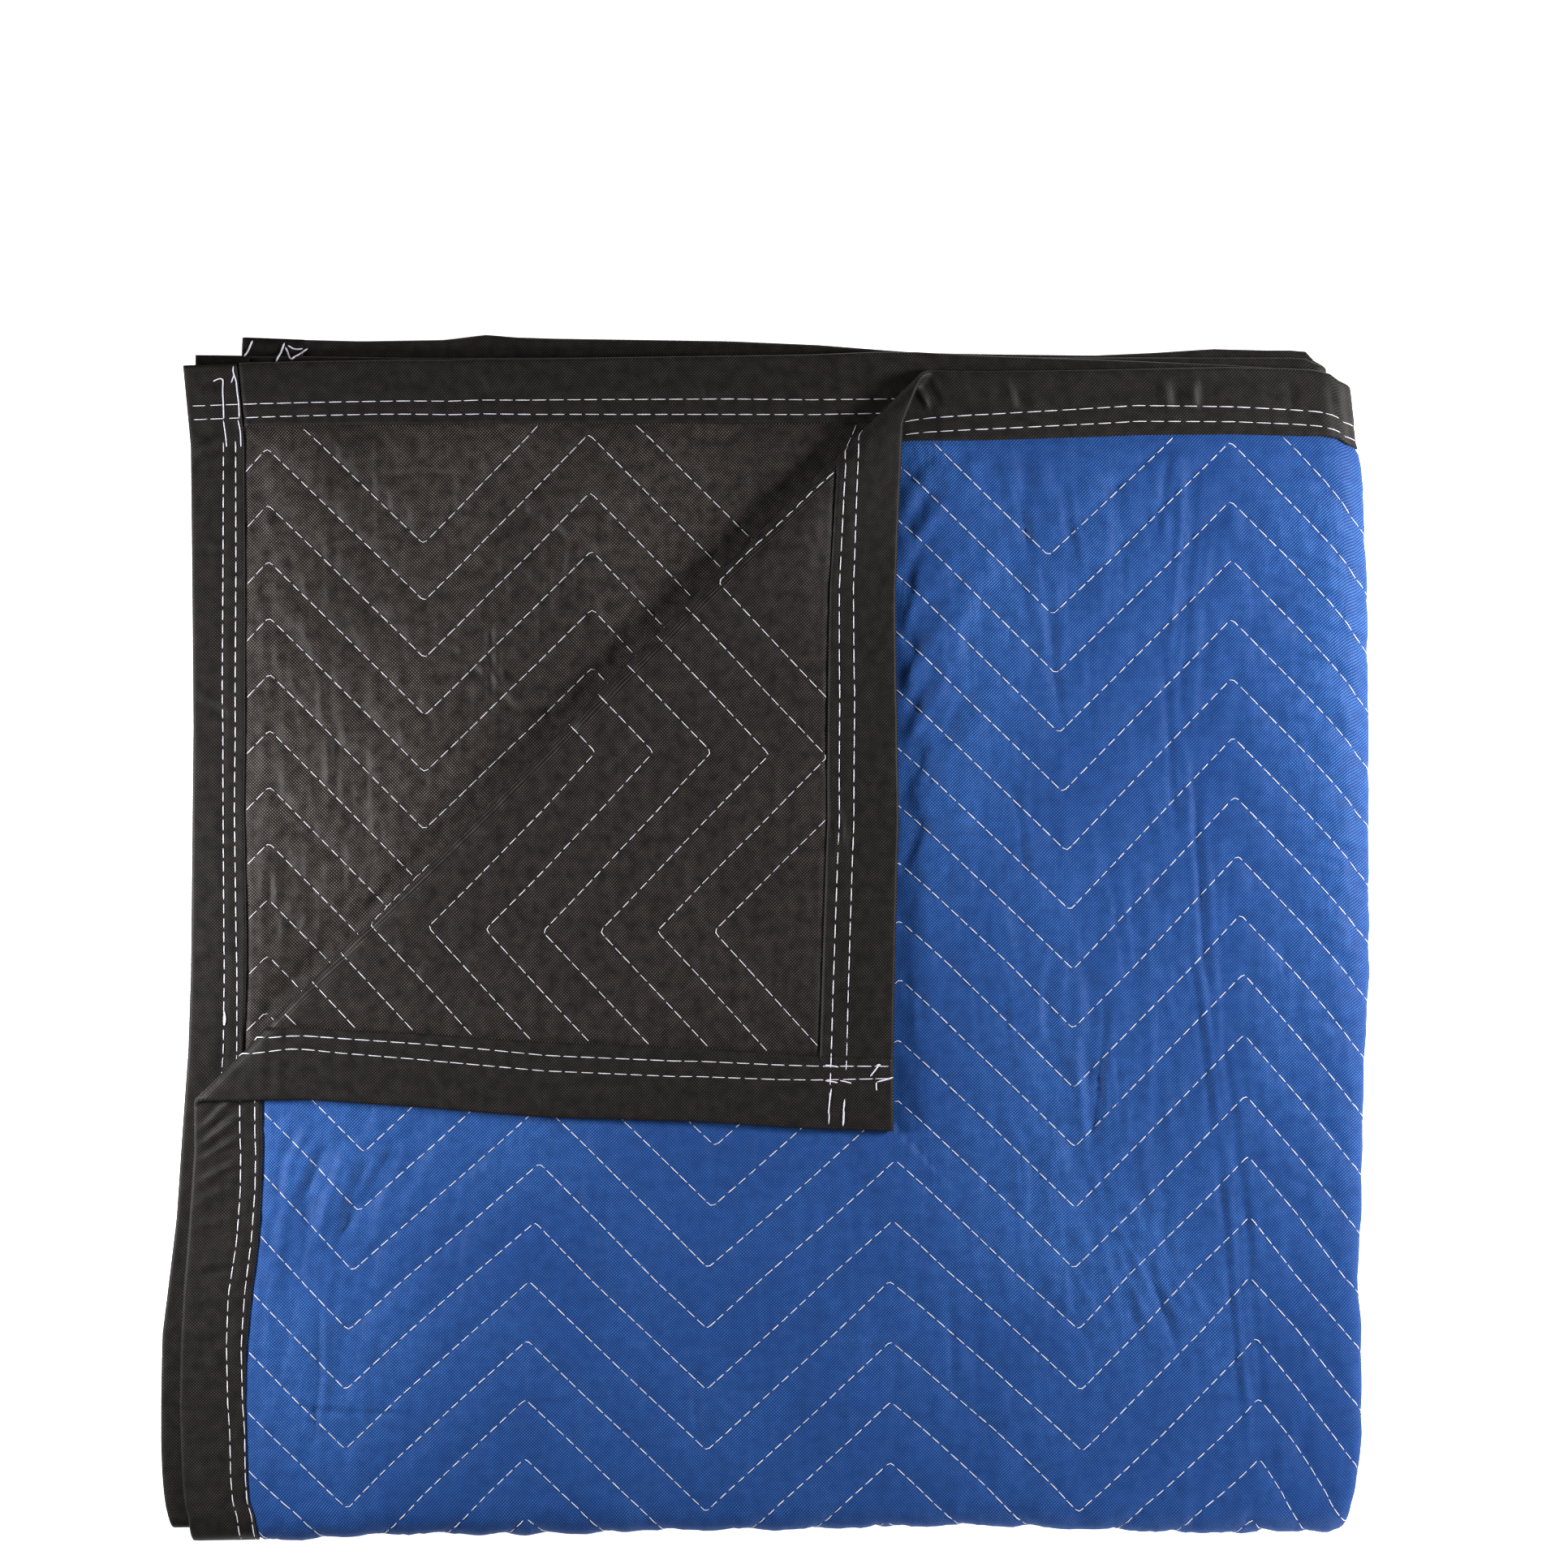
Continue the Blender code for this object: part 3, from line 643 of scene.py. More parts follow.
# The finest wrinkles: height, direction, width and length of a ripple, and its seed
fineRipples = {
    "blue": ((0.26, 93, 7, 70, 31), (0.22, 87, 14, 120, 32), (0.2, 55, 8, 30, 33)),
    "flap": ((0.14, 80, 9, 80, 34), (0.12, 40, 11, 30, 36)),
    "third": ((0.3, 62, 9, 30, 35),),
}
wrinkleSeeds = {"blue": (300, 41), "flap": (400, 42), "third": (500, 43)}


def seenFromAbove(across, along):
    # where a point of the flat cloth lies on the folded blanket
    x, y, past, run, start, radius = beforeRoll(across, along)
    out = start - np.maximum(0, past - math.pi * radius)
    return turnedBack(isTop(across, along) & (past > 0), run, out, x, y)


def gathered(across, along, number, beside):
    # the cloth gathers across each channel, most of all beside its seams
    gather = softNoise(across * math.sqrt(2) / puff["puckerLong"] + 31.7, number * 1.7 + 9.3, 71)
    patchU, patchV = across / puff["puckerPatch"] + 3.1, along / puff["puckerPatch"] + 5.7
    gather = gather * (0.55 + 0.8 * softNoise(patchU, patchV, 72))
    gather = gather * np.sin(math.pi * np.clip(beside * 1.5 + 0.1, 0, 1)) ** 0.7
    return np.maximum(gather / (1 + puff["puckerSharp"] * np.abs(gather)), puff["puckerLow"])


def fineWrinkles(x, y, name):
    return sum(high * ripples(x, y, *shape) for high, *shape in fineRipples[name])


def wrinkled(height, x, y, name):
    # adds the main wrinkles and creases of a face to its height
    seed, creaseSeed = wrinkleSeeds[name]
    return height + rippling(x, y, rippled[name], seed) + creased(x, y, creases[name], creaseSeed)


def pressedDown(x, y):
    # how far the turned corner presses the blue face down beside it
    right, below = clearOfFlap(x, y)
    beside = puff["pressed"] * bell(np.maximum(0, right), puff["pressedWide"]) * eased((400 - y) / 30)
    beneath = puff["pressedBelow"] * bell(np.maximum(0, below), puff["pressedBelowWide"])
    return np.where(below > right, beneath, beside)


def relief(across, along, face):
    # puffed padding, wrinkles and creases: height above the plain face
    number = seamNumber(across, along)
    beside = np.abs((number + 0.5) % 1 - 0.5)  # share of a step from the nearest seam
    beside = np.where(number > lastSeam, np.minimum(number - lastSeam, 0.5), beside)
    x, y = seenFromAbove(across, along)
    out = openBy(across, along, face)
    edge = insideTape(across, along, face) - tape["shoulder"]
    top = isTop(across, along)
    shown, clear = eased(out / puff["reveal"]), eased(edge / puff["reveal"])
    pillow = np.sin(math.pi * beside) ** 0.8 * (1 + 0.22 * softNoise(across / 55, along / 55, 21))
    stitch = np.sin(math.tau * across * math.sqrt(2) / puff["stitchPitch"] + np.rint(number) * 2.4)
    stitch = puff["stitchHigh"] * stitch * bell(beside - 0.09, puff["stitchWide"])
    gather = gathered(across, along, number, beside)
    if face > 0:
        wrinkles = wrinkled(fineWrinkles(x, y, "blue") + puff["bluePucker"] * gather, x, y, "blue")
        turn = np.clip(along / layerStep / (math.pi / 2), -1, 1)
        keep = shown * clear * eased(turn + 0.9)
        keep = keep * (1 - puff["foldFlat"] * bell(across, puff["foldFlatWide"]))
        height = np.maximum((puff["blue"] * pillow + wrinkles + stitch) * keep, puff["blueLow"])
        height = np.maximum(height - pressedDown(x, y) * top * eased(edge / 12), puff["pressedLow"])
        groove = -puff["underDip"] * bell(beside, puff["stitchWide"]) * eased(edge / 6)
        return np.where(onFloor(across, along, pastFold["relief"]), groove, height)
    flap = fineWrinkles(x, y, "flap") + puff["flap"] * pillow + puff["flapPucker"] * gather
    flap = wrinkled(flap, x, y, "flap")
    rising = eased(out / 55)  # the layer below is flat under the roll and puffs up away from it
    third = fineWrinkles(x, y, "third") + puff["third"] * pillow * (0.4 + 0.6 * rising)
    third = wrinkled(third + puff["thirdPucker"] * gather * (0.1 + 0.9 * rising), x, y, "third")
    sunk = puff["sunk"] * bell(np.maximum(0, out), puff["sunkWide"]) * eased(edge / 12)
    third = third - np.where(top, 0, sunk)
    height = np.where(
        top, np.maximum(flap + stitch, puff["flapLow"]), np.maximum(third + stitch, puff["thirdLow"])
    )
    return height * shown * clear


def rumplingAndGlint(across, along, face):
    # from 0, smooth, to 1, much handled; the same amount also sets how bright the painted glints on the
    # pressed points are
    x, y = seenFromAbove(across, along)
    patches = 0.5 + 0.5 * softNoise(x / 45 + 11.2, y / 70 + 4.4, 81)
    if face > 0:
        rows = zip(*rippled["blue"].values())
        near = sum(nearby(x, y, *patch) * high for *patch, _, _, _, high in rows)
        return np.clip(0.25 + near, 0, 1) * (0.35 + 0.65 * patches)
    # black face: more rumples, and a painted glint that is lighter towards the left lamp and fainter on
    # the turned corner
    black = np.where(isTop(across, along), 0.3, np.clip(0.95 - (x + 250) / 900, 0.3, 1))
    return black * (0.3 + 0.7 * patches)


def faceHeight(across, along, face):
    # height of a face above the middle of the cloth, thin where the tape covers it
    inside = insideTape(across, along, face)
    share = np.clip((inside - tape["gap"]) / tape["shoulder"], 0, 1)
    plain = tongue + (halfLoft - tongue) * share
    plain = plain - tape["tuck"] * eased(-inside / tape["tuckEase"])
    rim = np.minimum(halfWidth - np.abs(across), halfLength - np.abs(along))
    plain = plain * eased((rim - halfLoft) / tape["rimEase"])  # the faces meet at the cut edge
    return plain + relief(across, along, face) * (share > 0)


# Meshes of the two faces of the cloth
meshing = {"blueStep": 3.0, "blackStep": 2.7, "underStep": 12.0, "hiddenStep": 34.0, "seamStep": 10 / 3}
uvSpan = 2 * halfWidth  # the width of the flat cloth, which fills the UV map


def hexPoints(step, low, high):
    rows = np.arange(low[1], high[1], step * math.sqrt(3) / 2)
    columns = np.arange(low[0], high[0], step)
    across, along = np.meshgrid(columns, rows)
    across = across + (np.arange(len(rows)) % 2)[:, None] * step / 2
    return np.stack([across.ravel(), along.ravel()], axis=-1)


def lineLengths(points):
    # distance from a line's start to each of its points
    return np.concatenate([[0], np.cumsum(np.linalg.norm(np.diff(points, axis=0), axis=1))])


def pointsAt(places, lengths, points):
    return np.stack([np.interp(places, lengths, points[:, i]) for i in range(2)], axis=-1)


def evenly(points, step):
    # the same line with points a step apart
    points = np.asarray(points, float)
    lengths = lineLengths(points)
    count = max(1, round(lengths[-1] / step))
    return pointsAt(np.linspace(0, lengths[-1], count + 1), lengths, points)


def rollCoordinate(across, along):
    # how far a point is round the roll, as an angle, and past that in mm
    past, *_, radius = beforeRoll(across, along)[2:]
    return np.minimum(past / radius, math.pi) + np.maximum(0, past - math.pi * radius)


def rollLine(target):
    # a line of the flat cloth that lies along the roll, from the side edge to the end edge
    across = -np.linspace(faceWidth, 0.5, 700)
    bottom, top = np.full(across.shape, 0.5), np.full(across.shape, faceLength + 40)
    for _ in range(40):
        middle = (bottom + top) / 2
        under = rollCoordinate(across, middle) < target
        bottom, top = np.where(under, middle, bottom), np.where(under, top, middle)
    keep = top <= faceLength + 3
    return np.stack([across[keep], np.minimum(top[keep], faceLength)], axis=-1)


def clipped(points, keep):
    # the runs of a line that are kept
    runs, current = [], []
    for point, kept in zip(points, keep):
        if kept:
            current.append(point)
        else:
            runs.append(current)
            current = []
    runs.append(current)
    return [np.array(run) for run in runs if len(run) > 1]


rimShare = 0.9978  # a second line runs just inside the cut edge
facets = {"fold": 10, "roll": 15}
pastRoll = (6, 14, 26, 44, 70, 100)  # lines beyond the roll, where the corner comes down
seamSides = (-0.07, 0.0, 0.07)  # lines in and beside each seam, as shares of a step


def guideLines(face):
    # lines that the mesh follows: the rim, the folds, the tapes' edges, the roll and the seams
    rim = np.array([(-1, -1), (1, -1), (1, 1), (-1, 1)]) * (faceWidth, faceLength)
    lines = [evenly(rim[[i, (i + 1) % 4]] * share, 6.0) for share in (1, rimShare) for i in range(4)]
    for i in range(facets["fold"] + 1):
        share = 2 * i / facets["fold"] - 1
        across, along = firstTurn * share, secondTurn * share
        lines.append(evenly([(across, -faceLength), (across, faceLength)], 4.0))
        lines.append(evenly([(-faceWidth, along), (faceWidth, along)], 4.0))
    run = np.arange(-895.0, 896.0, 8.0)  # along each tape, a little short of the corners
    for name in tapes:
        for wide in (tape["gap"], tape["gap"] + tape["shoulder"]):
            lines.append(np.stack(tapePlace(name, run, plyWidth(name, run, face) + wide), axis=-1))
    targets = [math.pi * i / facets["roll"] for i in range(facets["roll"] + 1)]
    for target in targets + [math.pi + away for away in pastRoll]:
        lines.append(evenly(rollLine(target), 4.0))
    for number in seams:
        for beside in seamSides:
            path = seamPath(number + beside)
            keep = (insideTape(*path.T, face) > 1) & (openBy(*path.T, face) > -underLayer["seam"])
            for part in clipped(path, keep):
                coarser = 1 if part[:, 1].mean() > 0 else 3
                lines.append(evenly(part, meshing["seamStep"] * coarser))
    return lines


def cells(points):
    # each point's place in a grid of 1 mm cells over the cloth
    return np.rint(points + (halfWidth, halfLength)).astype(int) + 3


def fillPoints(lines, face):
    # points spread over the cloth between the lines, close together only where they show
    corner = np.array((halfWidth - 6, halfLength - 6))
    size = np.array((int(2 * halfWidth) + 9, int(2 * halfLength) + 9))
    spots = cells(np.concatenate([evenly(line, 1.0) for line in lines]))
    kept = []
    # the part that shows, the blue face on the floor, and the rest, each with its own step and its
    # own distance from the lines, as a share of that step
    for level, step, reach in (
        ("shown", meshing["blueStep" if face > 0 else "blackStep"], 0.6),
        ("floor", meshing["underStep"], 0.4),
        ("hidden", meshing["hiddenStep"], 0.4),
    ):
        taken = np.zeros(size, bool)
        reach = reach * step
        offsets = np.arange(-math.ceil(reach), math.ceil(reach) + 1)
        for shift in ((dx, dy) for dx in offsets for dy in offsets if math.hypot(dx, dy) <= reach):
            taken[tuple(np.clip(spots + shift, 0, size - 1).T)] = True
        points = hexPoints(step, -corner, corner)
        inside = insideTape(*points.T, face) > 0
        onUnderside = onFloor(*points.T, pastFold["mesh"])
        shown = (openBy(*points.T, face) > -underLayer["cloth"]) & inside & ~onUnderside
        floor = onUnderside & inside & (face > 0)
        want = {"shown": shown, "floor": floor, "hidden": ~shown & ~floor}[level]
        kept.append(points[want & ~taken[tuple(cells(points).T)]])
    return np.concatenate(kept)


def addMesh(name, places, faces, flat, rumpled_and_glint=None):
    # flat holds each point's place on its flat fabric in mm, and the last argument how creased it is
    # there and how bright the painted glints on its pressed points are
    mesh = bpy.data.meshes.new(name)
    mesh.from_pydata(np.asarray(places).tolist(), [], faces)
    corners = np.zeros(len(mesh.loops), np.int32)
    mesh.loops.foreach_get("vertex_index", corners)
    layer = mesh.uv_layers.new(name="flat")
    uv = (np.asarray(flat) + (halfWidth, halfLength)) / uvSpan
    layer.uv.foreach_set("vector", uv[corners].astype(np.float32).ravel())
    if rumpled_and_glint is not None:
        attribute = mesh.attributes.new("rumpled_and_glint", "FLOAT", "POINT")
        attribute.data.foreach_set("value", rumpled_and_glint.astype(np.float32))
    mesh.shade_smooth()
    piece = bpy.data.objects.new(name, mesh)
    bpy.context.scene.collection.objects.link(piece)
    return piece


def clothFace(name, face):
    lines = guideLines(face)
    fill = fillPoints(lines, face)
    points, edges = [], []
    for line in lines:
        edges += [(len(points) + i, len(points) + i + 1) for i in range(len(line) - 1)]
        points += [Vector(point) for point in line]
    points += [Vector(point) for point in fill]
    points, _, triangles, *_ = delaunay_2d_cdt(points, edges, [], 0, 1e-3)
    flat = np.array([tuple(point) for point in points])
    height = faceHeight(flat[:, 0], flat[:, 1], face)
    places = folded(flat[:, 0], flat[:, 1], face * height)
    triangles = [triangle[::face] for triangle in triangles]
    print(name, len(triangles), "triangles")
    sewn = np.stack(sewnPlace(flat[:, 0], flat[:, 1]), axis=-1)
    return addMesh(name, places, triangles, sewn, rumplingAndGlint(flat[:, 0], flat[:, 1], face))


faceCloth = clothFace("face_cloth", 1)
backCloth = clothFace("back_cloth", -1)


def tapeSection(place, skin):
    # how far in from the cloth's edge a point round the tape is, and its height
    turn = np.clip(place / tapeRadius, -math.pi / 2, math.pi / 2)
    radius = tapeRadius + skin * tape["thick"] / 2
    straight = np.maximum(0, np.abs(place) - halfTurn)
    return halfLoft - radius * np.cos(turn) + straight, radius * np.sin(turn)


# The tapes' grooves and puckers, and how far their stitches lie above them
stitching = {
    "groove": 0.45, "grooveWide": 2.4, "pucker": 0.34, "widePucker": 0.4, "lift": 0.5, "step": 0.55,
    "threadLift": 0.1, "cornerLift": 0.75, "underLift": -0.75,
}
# The tapes' stations: close together where a tape shows, closer round the roll, closest at the folds
stations = {
    "hidden": 9.0, "shown": 3.2, "roll": 1.7, "fold": 1.0, "foldReach": 16,
    "cornerLeft": 51.5, "cornerRight": 43.0, "beforeRoll": 50, "pastRoll": 60,
}


def tapeRelief(name, run, inset, face):
    # the rows of stitches press grooves into the tape, and it puckers between them
    line = tapes[name]["line"]
    across, along = tapePlace(name, run, inset)
    x, y = seenFromAbove(across, along)
    marks = creased(x, y, creases["blueTape" if face > 0 else "blackTape"], 44)
    if tapes[name]["edge"] == "side":
        # the end tape's own edge shows through beneath, at the corner
        ends = endPly(across, along, face) + 1 - (halfLength - np.abs(along))
        marks = marks + stitching["step"] * eased(ends / 2.4)
    outer, inner = (np.interp(run, line["run"], line[key]) for key in ("outer", "inner"))
    width = plyWidth(name, run, face)
    grooves = sum(bell(inset - row, stitching["grooveWide"]) for row in (outer, inner))
    pucker = stitching["pucker"] * softNoise(run / 6.5, inset / 18, 51) * eased(inset / 12)
    pucker = pucker + stitching["widePucker"] * softNoise(run / 19, inset / 14, 52)
    lift = stitching["lift"] * eased((inset - inner - 3) / (width - inner))
    lift = lift * (0.5 + softNoise(run / 30, 0 * run, 53))
    height = pucker - stitching["groove"] * grooves + lift + marks * eased(inset / 8)
    return np.maximum(height, -0.15 - 0.7 * eased((width - inset) / 8))  # never into the cloth


def runStations(name):
    start, end = -halfLength, halfLength
    if tapes[name]["edge"] == "end":
        # end tapes stop under the side tapes
        start, end = -halfWidth, halfWidth
        start, end = start + stations["cornerLeft"], end - stations["cornerRight"]
    fine = np.arange(start, end, 0.5)
    across, along = tapePlace(name, fine, 20.0)
    shown = (openBy(across, along, 1) > -underLayer["tape"]) & ~onFloor(across, along)
    shown = shown | (openBy(across, along, -1) > -underLayer["tape"])
    step = np.where(shown, stations["shown"], stations["hidden"])
    step = np.where(np.abs(fine) < stations["foldReach"], stations["fold"], step)
    if name in ("over_end", "outer_side"):
        past, *_, radius = beforeRoll(across, along)[2:]
        near = (past > -stations["beforeRoll"]) & (past < math.pi * radius + stations["pastRoll"])
        step = np.where(near, stations["roll"], step)
    count = np.cumsum(0.5 / step)
    return np.interp(np.linspace(count[0], count[-1], round(count[-1]) + 1), count, fine)


def binding(name):
    # a strip folded round the edge: an outer and an inner skin, joined all round
    runs = runStations(name)
    turn = np.linspace(-1, 1, 9)
    plies = np.linspace(0, 1, 17)[1:]
    share = np.concatenate([-1 - plies[::-1], turn, 1 + plies])
    blue = halfTurn + plyWidth(name, runs, 1) - halfLoft
    black = halfTurn + plyWidth(name, runs, -1) - halfLoft
    skins = []
    for skin in (1, -1):
        across, run = np.meshgrid(share, runs, indexing="ij")
        ply = np.where(across > 0, blue, black) - halfTurn
        flatShare = np.sign(across) * np.maximum(0, np.abs(across) - 1)
        place = np.clip(across, -1, 1) * halfTurn + flatShare * ply
        inset, rise = tapeSection(place, skin)
        onCloth = tapePlace(name, run, inset)
        for face in (1, -1):
            under = onFloor(*onCloth) & (face > 0)
            shown = eased((openBy(*onCloth, face) + underLayer["cloth"]) / 10)
            keep = shown * ~under * eased((np.abs(across) - 0.8) / 0.6)
            puckers = tapeRelief(name, run, inset, face) * keep
            rise = np.where(face * across > 0, rise + face * puckers, rise)
        skins.append(folded(*onCloth, rise))
    rows, columns = skins[0].shape[:2]
    grid = np.arange(rows * columns).reshape(rows, columns)
    quads = np.stack([grid[:-1, :-1], grid[1:, :-1], grid[1:, 1:], grid[:-1, 1:]], axis=-1)
    quads = quads.reshape(-1, 4)
    size = rows * columns
    inner = quads[:, ::-1] + size
    border = np.concatenate([grid[0, :], grid[1:, -1], grid[-1, -2::-1], grid[-2:0:-1, 0]])
    following = np.roll(border, -1)
    rim = np.stack([border, following, following + size, border + size], axis=-1)
    faces = np.concatenate([quads, inner, rim])
    points = np.concatenate([skin.reshape(-1, 3) for skin in skins])
    sewn = np.interp(run, *(sideFold if tapes[name]["edge"] == "end" else bottomFold))
    flat = np.stack([sewn.ravel(), place.ravel()], axis=-1)
    flat = np.concatenate([flat, flat])
    piece = addMesh("binding_tape_" + name, points, faces.tolist(), flat)
    bpy.context.view_layer.objects.active = piece
    piece.select_set(True)
    bpy.ops.object.mode_set(mode="EDIT")
    bpy.ops.mesh.select_all(action="SELECT")
    bpy.ops.mesh.normals_make_consistent(inside=False)  # the outer skin faces out
    bpy.ops.object.mode_set(mode="OBJECT")
    piece.select_set(False)
    print(piece.name, len(faces) * 2, "triangles")
    return piece


bindings = {name: binding(name) for name in tapes}

# Stitches: joined meshes of short tapered threads. The pitch, the share of it that a stitch fills,
# how much that changes as a seam climbs or falls, and the half width, half height and arch
threads = {
    kind: dict(zip(("pitch", "dash", "lean", "wide", "high", "arch"), sizes))
    for kind, *sizes in (
        ("quilting", 10.0, 0.82, 0.05, 0.37, 0.34, 0.35),
        ("quiltingBlack", 10.0, 0.83, 0.03, 0.34, 0.32, 0.35),
        ("tape", 13.4, 0.87, 0, 0.4, 0.44, 0.35),
        ("underneath", 10.0, 0.8, 0, 0.45, 0.3, 0.1),
        ("shortTape", 11.2, 0.8, 0, 0.42, 0.42, 0.35),
    )
}
# Rings along a stitch: their places, girths and heights, as shares
rings = {
    "place": np.array([0.0, 0.14, 0.5, 0.86, 1.0]),
    "girth": np.array([0.25, 0.85, 1.0, 0.85, 0.25]),
    "arch": np.array([-0.55, 0.1, 1.0, 0.1, -0.55]),
}
ringTurns = np.arange(5) * math.tau / 5


def dashes(path, kind, face, surface, seed):
    # path is a line on the flat cloth 1 mm apart, surface(across, along) the height that it lies on
    path = evenly(path, 1.0)
    random = np.random.default_rng(seed)
    lengths = lineLengths(np.stack(sewnPlace(*path.T), axis=-1))
    pitch = kind["pitch"] * (1 + 0.05 * random.uniform(-1, 1))
    count = int(lengths[-1] / pitch)
    if count < 1:
        return np.zeros((0, 5, 5, 3))  # too short for a stitch
    pitch = lengths[-1] / count
    begin = np.arange(count) * pitch + pitch * (1 - kind["dash"]) / 2 + random.uniform(-0.3, 0.3, count)
    rising = np.sign(np.interp(begin, lengths[1:], np.diff(path[:, 0]) * np.diff(path[:, 1])))
    long = (kind["dash"] - kind["lean"] * rising) * pitch * random.uniform(0.92, 1.04, count)
    arch = rings["arch"] * kind["arch"]
    places = np.clip(begin[:, None] + rings["place"] * long[:, None], 0, lengths[-1])
    across = np.interp(places, lengths, path[:, 0])
    along = np.interp(places, lengths, path[:, 1])
    height = surface(across.ravel(), along.ravel()).reshape(across.shape)
    middle = folded(across, along, face * (height + arch))
    lifted = folded(across, along, face * (height + arch + 1.0))
    up = lifted - middle
    up /= np.linalg.norm(up, axis=-1, keepdims=True)
    ahead = np.gradient(middle, axis=1)
    side = np.cross(ahead, up)
    side /= np.maximum(np.linalg.norm(side, axis=-1, keepdims=True), 1e-12)
    fat = random.uniform(0.85, 1.15, (count, 1))
    wide = (kind["wide"] * fat * rings["girth"])[..., None, None] * np.cos(ringTurns)[:, None]
    high = (kind["high"] * fat * rings["girth"])[..., None, None] * np.sin(ringTurns)[:, None]
    wide, high = wide * side[:, :, None, :], high * up[:, :, None, :]
    return middle[:, :, None, :] + (wide + high) * 0.001


# Each stitch has a patch of its own in the map: its length and girth, and the patches' grid
patches = {"long": 8, "round": 3, "inRow": 40, "rows": 60, "wide": 20, "high": 14}


def threadMesh(name, groups):
    # joins tubes of rings, each group with its own number of rings
    places, faces, flat, total = [], [], [], 0
    for tubes in (group for group in groups if len(group)):
        count, along, around = tubes.shape[:3]
        grid = np.arange(along * around).reshape(along, around)
        following = np.roll(grid, -1, axis=1)
        quads = np.stack([grid[:-1], following[:-1], following[1:], grid[1:]], axis=-1).reshape(-1, 4)
        shift = total + (np.arange(count) * along * around)[:, None, None]
        faces += (quads[None] + shift).reshape(-1, 4).tolist()
        for cap in (grid[0, ::-1], grid[-1]):
            faces += (cap[None, None] + shift).reshape(count, -1).tolist()
        row, column = np.divmod(np.arange(count)[:, None, None], patches["inRow"])
        spread = np.zeros((count, along, around, 2))
        row = row % patches["rows"]
        spread[..., 0] = np.linspace(0, patches["long"], along)[:, None] + column * patches["wide"]
        spread[..., 1] = np.linspace(0, patches["round"], around) + row * patches["high"]
        places.append(tubes.reshape(-1, 3))
        flat.append(spread.reshape(-1, 2))
        total += count * along * around
    piece = addMesh(name, np.concatenate(places), faces, np.concatenate(flat))
    print(name, sum(len(face) - 2 for face in faces), "triangles")
    return piece


def quiltingStitches(face, kind, wanted, lift):
    def surface(across, along):
        return faceHeight(across, along, face) + lift

    groups = []
    for number in seams:
        path = seamPath(number)
        keep = (insideTape(*path.T, face) > 0.5) & wanted(*path.T)
        for index, run in enumerate(clipped(path, keep)):
            groups.append(dashes(run, kind, face, surface, 1000 + number * 10 + index))
    return groups


def upperBlue(across, along):
    return (openBy(across, along, 1) > -underLayer["cloth"]) & ~underneath(across, along)


# One seam would lie along the roll for part of its length. No stitches are laid there, which also
# takes off the first few mm of the seams that cross the roll beside it
bareRoll = {"from": -140, "to": -4, "before": -5, "radii": 2.4}


def upperBlack(across, along):
    past, run, _, radius = beforeRoll(across, along)[2:]
    bare = isTop(across, along) & (past > bareRoll["before"]) & (past < bareRoll["radii"] * radius)
    bare = bare & (run > bareRoll["from"]) & (run < bareRoll["to"])
    return (openBy(across, along, -1) > -underLayer["cloth"]) & ~bare


def underneath(across, along):
    return onFloor(across, along, pastFold["stitches"])


quiltingTop = threadMesh(
    "quilting_thread_upper",
    quiltingStitches(1, threads["quilting"], upperBlue, 0.1)
    + quiltingStitches(-1, threads["quiltingBlack"], upperBlack, 0.1),
)
quiltingUnder = threadMesh(
    "quilting_thread_under", quiltingStitches(1, threads["underneath"], underneath, -0.15)
)


def tapeSurface(name, face, across, along):
    # height of the tape that the stitches lie on
    raised = stitching["threadLift"]
    if tapes[name]["edge"] == "end":
        run, inset = across, halfLength - np.abs(along)
        # at the corners the side tape is sewn over the end tape
        corner = halfWidth - np.abs(across) < sidePly(across, along, face)
        raised = raised + stitching["cornerLift"] * corner
    else:
        run, inset = along, halfWidth - np.abs(across)
    under = onFloor(across, along) & (face > 0)
    raised = tapeRelief(name, run, inset, face) + raised
    return halfLoft + np.where(under, stitching["underLift"], raised)


def tapeStitches():
    groups = []
    for name, data in tapes.items():
        line = data["line"]
        kind = threads["shortTape" if name == "inner_side" else "tape"]
        end = halfWidth if data["edge"] == "end" else halfLength
        run = np.arange(-end + 3, end - 2, 1.0)
        for face in (1, -1):
            surface = functools.partial(tapeSurface, name, face)
            for index, key in enumerate(("outer", "inner")):
                across, along = tapePlace(name, run, np.interp(run, line["run"], line[key]))
                keep = openBy(across, along, face) > -underLayer["seam"]
                keep = keep & (run < data.get("sewnTo", end))
                for number, part in enumerate(clipped(np.stack([across, along], axis=-1), keep)):
                    groups.append(dashes(part, kind, face, surface, 5000 + 100 * index + number))
    return groups


